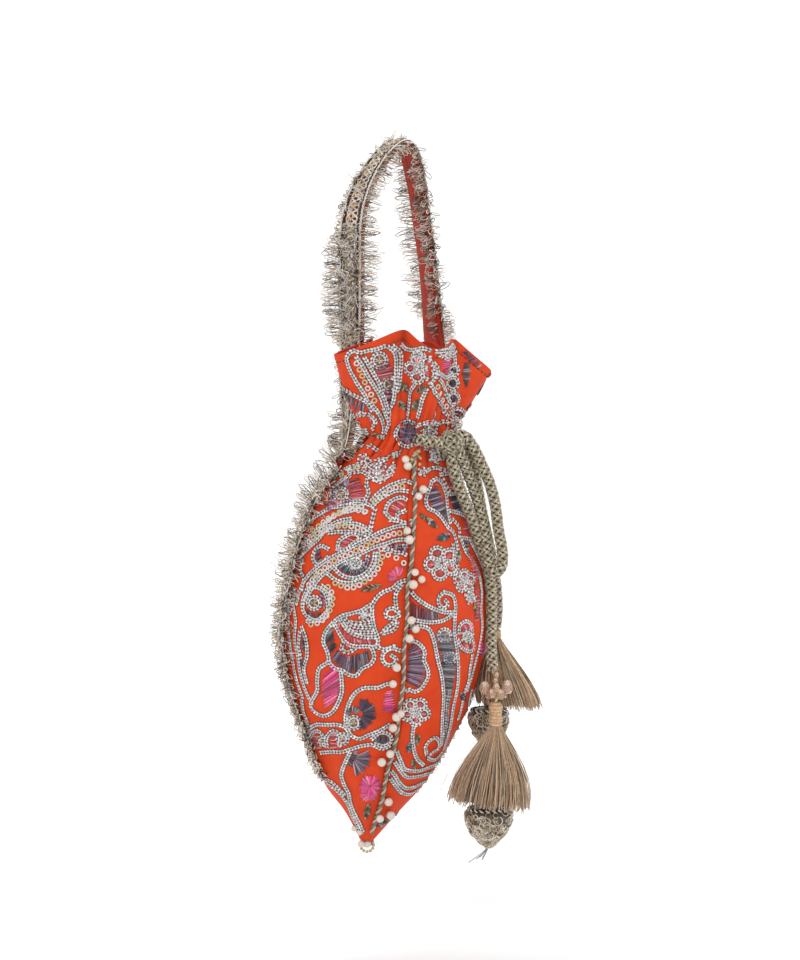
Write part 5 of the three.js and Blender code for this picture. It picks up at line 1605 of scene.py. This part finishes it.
def bud_surface(tassel, height, turn):
    """Point, down, round and outward directions on the bud."""
    ray = np.stack((np.cos(turn), np.sin(turn), 0 * turn), axis=-1)
    round_step = np.stack((-np.sin(turn), np.cos(turn), 0 * turn), axis=-1)
    wide = bud_radius(tassel, height)
    slope = (bud_radius(tassel, height - 0.03) - wide) / (0.03 * tassel["bud_height"])
    up = np.array((0, 0, 1.0))
    down = unit(ray * slope[:, None] - up)
    point = ray * wide[:, None] + up * (height * tassel["bud_height"])[:, None]
    return point, down, round_step, unit(np.cross(down, round_step))


def lace_bud(tassel):
    """A stuffed bud under loops of gilt thread, with a plaited rim and a few loose ends."""
    heights = np.linspace(-1, 0, 24)
    core = np.stack((0 * heights, 0 * heights, heights * tassel["bud_height"]), axis=1)
    # the stuffed core is painted dark, as shade in the gaps between the loops
    parts = [(*tubes(core[None], bud_radius(tassel, heights), 24), BUD_CORE_SHADE)]
    count = int(34 * tassel["bud"])
    height = -np.sqrt(rng.uniform(0.0, 0.96, count)) ** 1.2
    point, down, round_step, outward = bud_surface(tassel, height, rng.uniform(0, 2 * np.pi, count))
    size = rng.uniform(1.0, 2.3, count)[:, None, None]
    curl = (rng.uniform(0, 2 * np.pi, count)[:, None] + np.linspace(0, 5.2, 9))[..., None]
    coil = size * (np.cos(curl) * round_step[:, None] + np.sin(curl) * down[:, None])
    lift = rng.uniform(0.1, 0.6, count)[:, None, None] * outward[:, None]
    corners, faces = tubes(point[:, None] + coil + lift, BUD_THREAD, 3, facing=outward)
    parts.append((corners, faces, loop_colours(pick(BUD_GOLDS, count), corners)))
    turn = np.linspace(0, 2 * np.pi, 120)
    rim_radius = BUD_RIM * tassel["bud"]
    rim = np.stack((rim_radius * np.cos(turn), rim_radius * np.sin(turn), 0 * turn - 0.6), axis=1)
    parts += two_ply(rim, 0.9, 3.2, (GIMP_DARK, BUD_GOLDS[2]))
    drop = np.linspace(0, 1, 7)
    sway = rng.normal(0, 4.5, (LOOSE_ENDS, 2, 1)) * drop ** 1.5
    fall = -tassel["bud_height"] + 1 - 7 * np.tile(drop, (LOOSE_ENDS, 1))
    loose = np.stack((sway[:, 0], sway[:, 1], fall), axis=-1)
    parts.append((*tubes(loose, LOOSE_THREAD, 4), LOOSE_GREY))
    return parts


on_tails = {"tassel_front": [], "tassel_rear": []}
for tassel_name, tassel in TASSELS.items():
    hung = np.array((tassel["x"], tassel["y"], tassel["top"]))
    skirt_top = hung - (0, 0, tassel["head"] + 0.3)
    bud_top = skirt_top - (0, 0, tassel["skirt"] + 0.6) + (tassel["shift"], 0, 0)
    for piece_name, place, parts, material, slot in (
        ("head", hung, wound_head(tassel), SILK_THREAD, "tassel_silk"),
        ("skirt", skirt_top, skirt_threads(tassel), SILK_THREAD, "tassel_silk"),
        ("bud", bud_top, lace_bud(tassel), GOLD_THREAD, "zari_lace"),
    ):
        corners, faces, colours = joined(parts)
        corners = tied(corners + place)
        piece = mesh_piece(f"{tassel_name}_{piece_name}_threads", material, corners, faces, colours)
        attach(piece, "root")
        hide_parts(f"{tassel_name}_{piece_name}")
        on_tails[tassel_name].append(piece)

CRYSTALS = np.array([  # place round the thread, height, size
    (-5.6, -1.6, -268.2, 2.9), (5.8, -1.4, -267.8, 2.9), (-2.2, -3.2, -270.8, 2.1), (2.3, -3.1, -271.2, 2.2),
    (0.1, -3.8, -267.8, 2.0), (0.5, 2.9, -270.6, 2.2), (-3.4, 1.5, -271.6, 2.3), (3.7, 1.1, -271.4, 2.2),
    (-0.3, -1.4, -264.8, 1.5), (0.3, -1.1, -261.8, 1.4), (-0.4, -1.0, -259, 1.3),
])
STEM_RADIUS = 1.1
STEM_PITCH = 4
STEM_ENDS = (-259, -276)
bpy.ops.object.select_all(action="DESELECT")
bpy.ops.mesh.primitive_uv_sphere_add(segments=8, ring_count=5, radius=1)
bpy.ops.transform.resize(value=(1, 1, 1.25))
bpy.ops.object.transform_apply(scale=True)
FACETED = shape_of(bpy.context.object)
CRYSTAL, *_, crystal_shader = new_material("peach_crystal")
set_inputs(crystal_shader, {
    "Base Color": (0.88, 0.62, 0.45, 1), "Roughness": 0.04, "Transmission Weight": 0.75, "IOR": 1.6,
    "Coat Weight": 0.5,
})
hung = np.array((TASSELS["tassel_front"]["x"], TASSELS["tassel_front"]["y"], 0))
corners, faces = copies(FACETED, tied(CRYSTALS[:, :3] + hung), CRYSTALS[:, 3])
crystals = mesh_piece("crystal_crown", CRYSTAL, corners, faces)
crystals.data.polygons.foreach_set("use_smooth", np.zeros(len(faces), bool))
stem = np.linspace(*((0, 0, z) for z in STEM_ENDS), 40) + hung
stem[:8, 0] += np.linspace(-1.5, 0, 8)
plies = two_ply(tied(stem), STEM_RADIUS, STEM_PITCH, (SILK_TANS[2], SEQUIN_GOLD))
stem_thread = mesh_piece("crystal_thread", GOLD_THREAD, *joined(plies))
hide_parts("tassel_front_crystals")
for piece in (crystals, stem_thread):
    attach(piece, "root")
    on_tails["tassel_front"].append(piece)

# Cords: each free length of the drawstring, with its centreline and length, and the knot or tassel pieces
# that hang from it.
declared = [(*cord_loop, [knot])]
declared += [(*tail, on_tails[tassel_name]) for tassel_name, tail in cord_tails.items()]
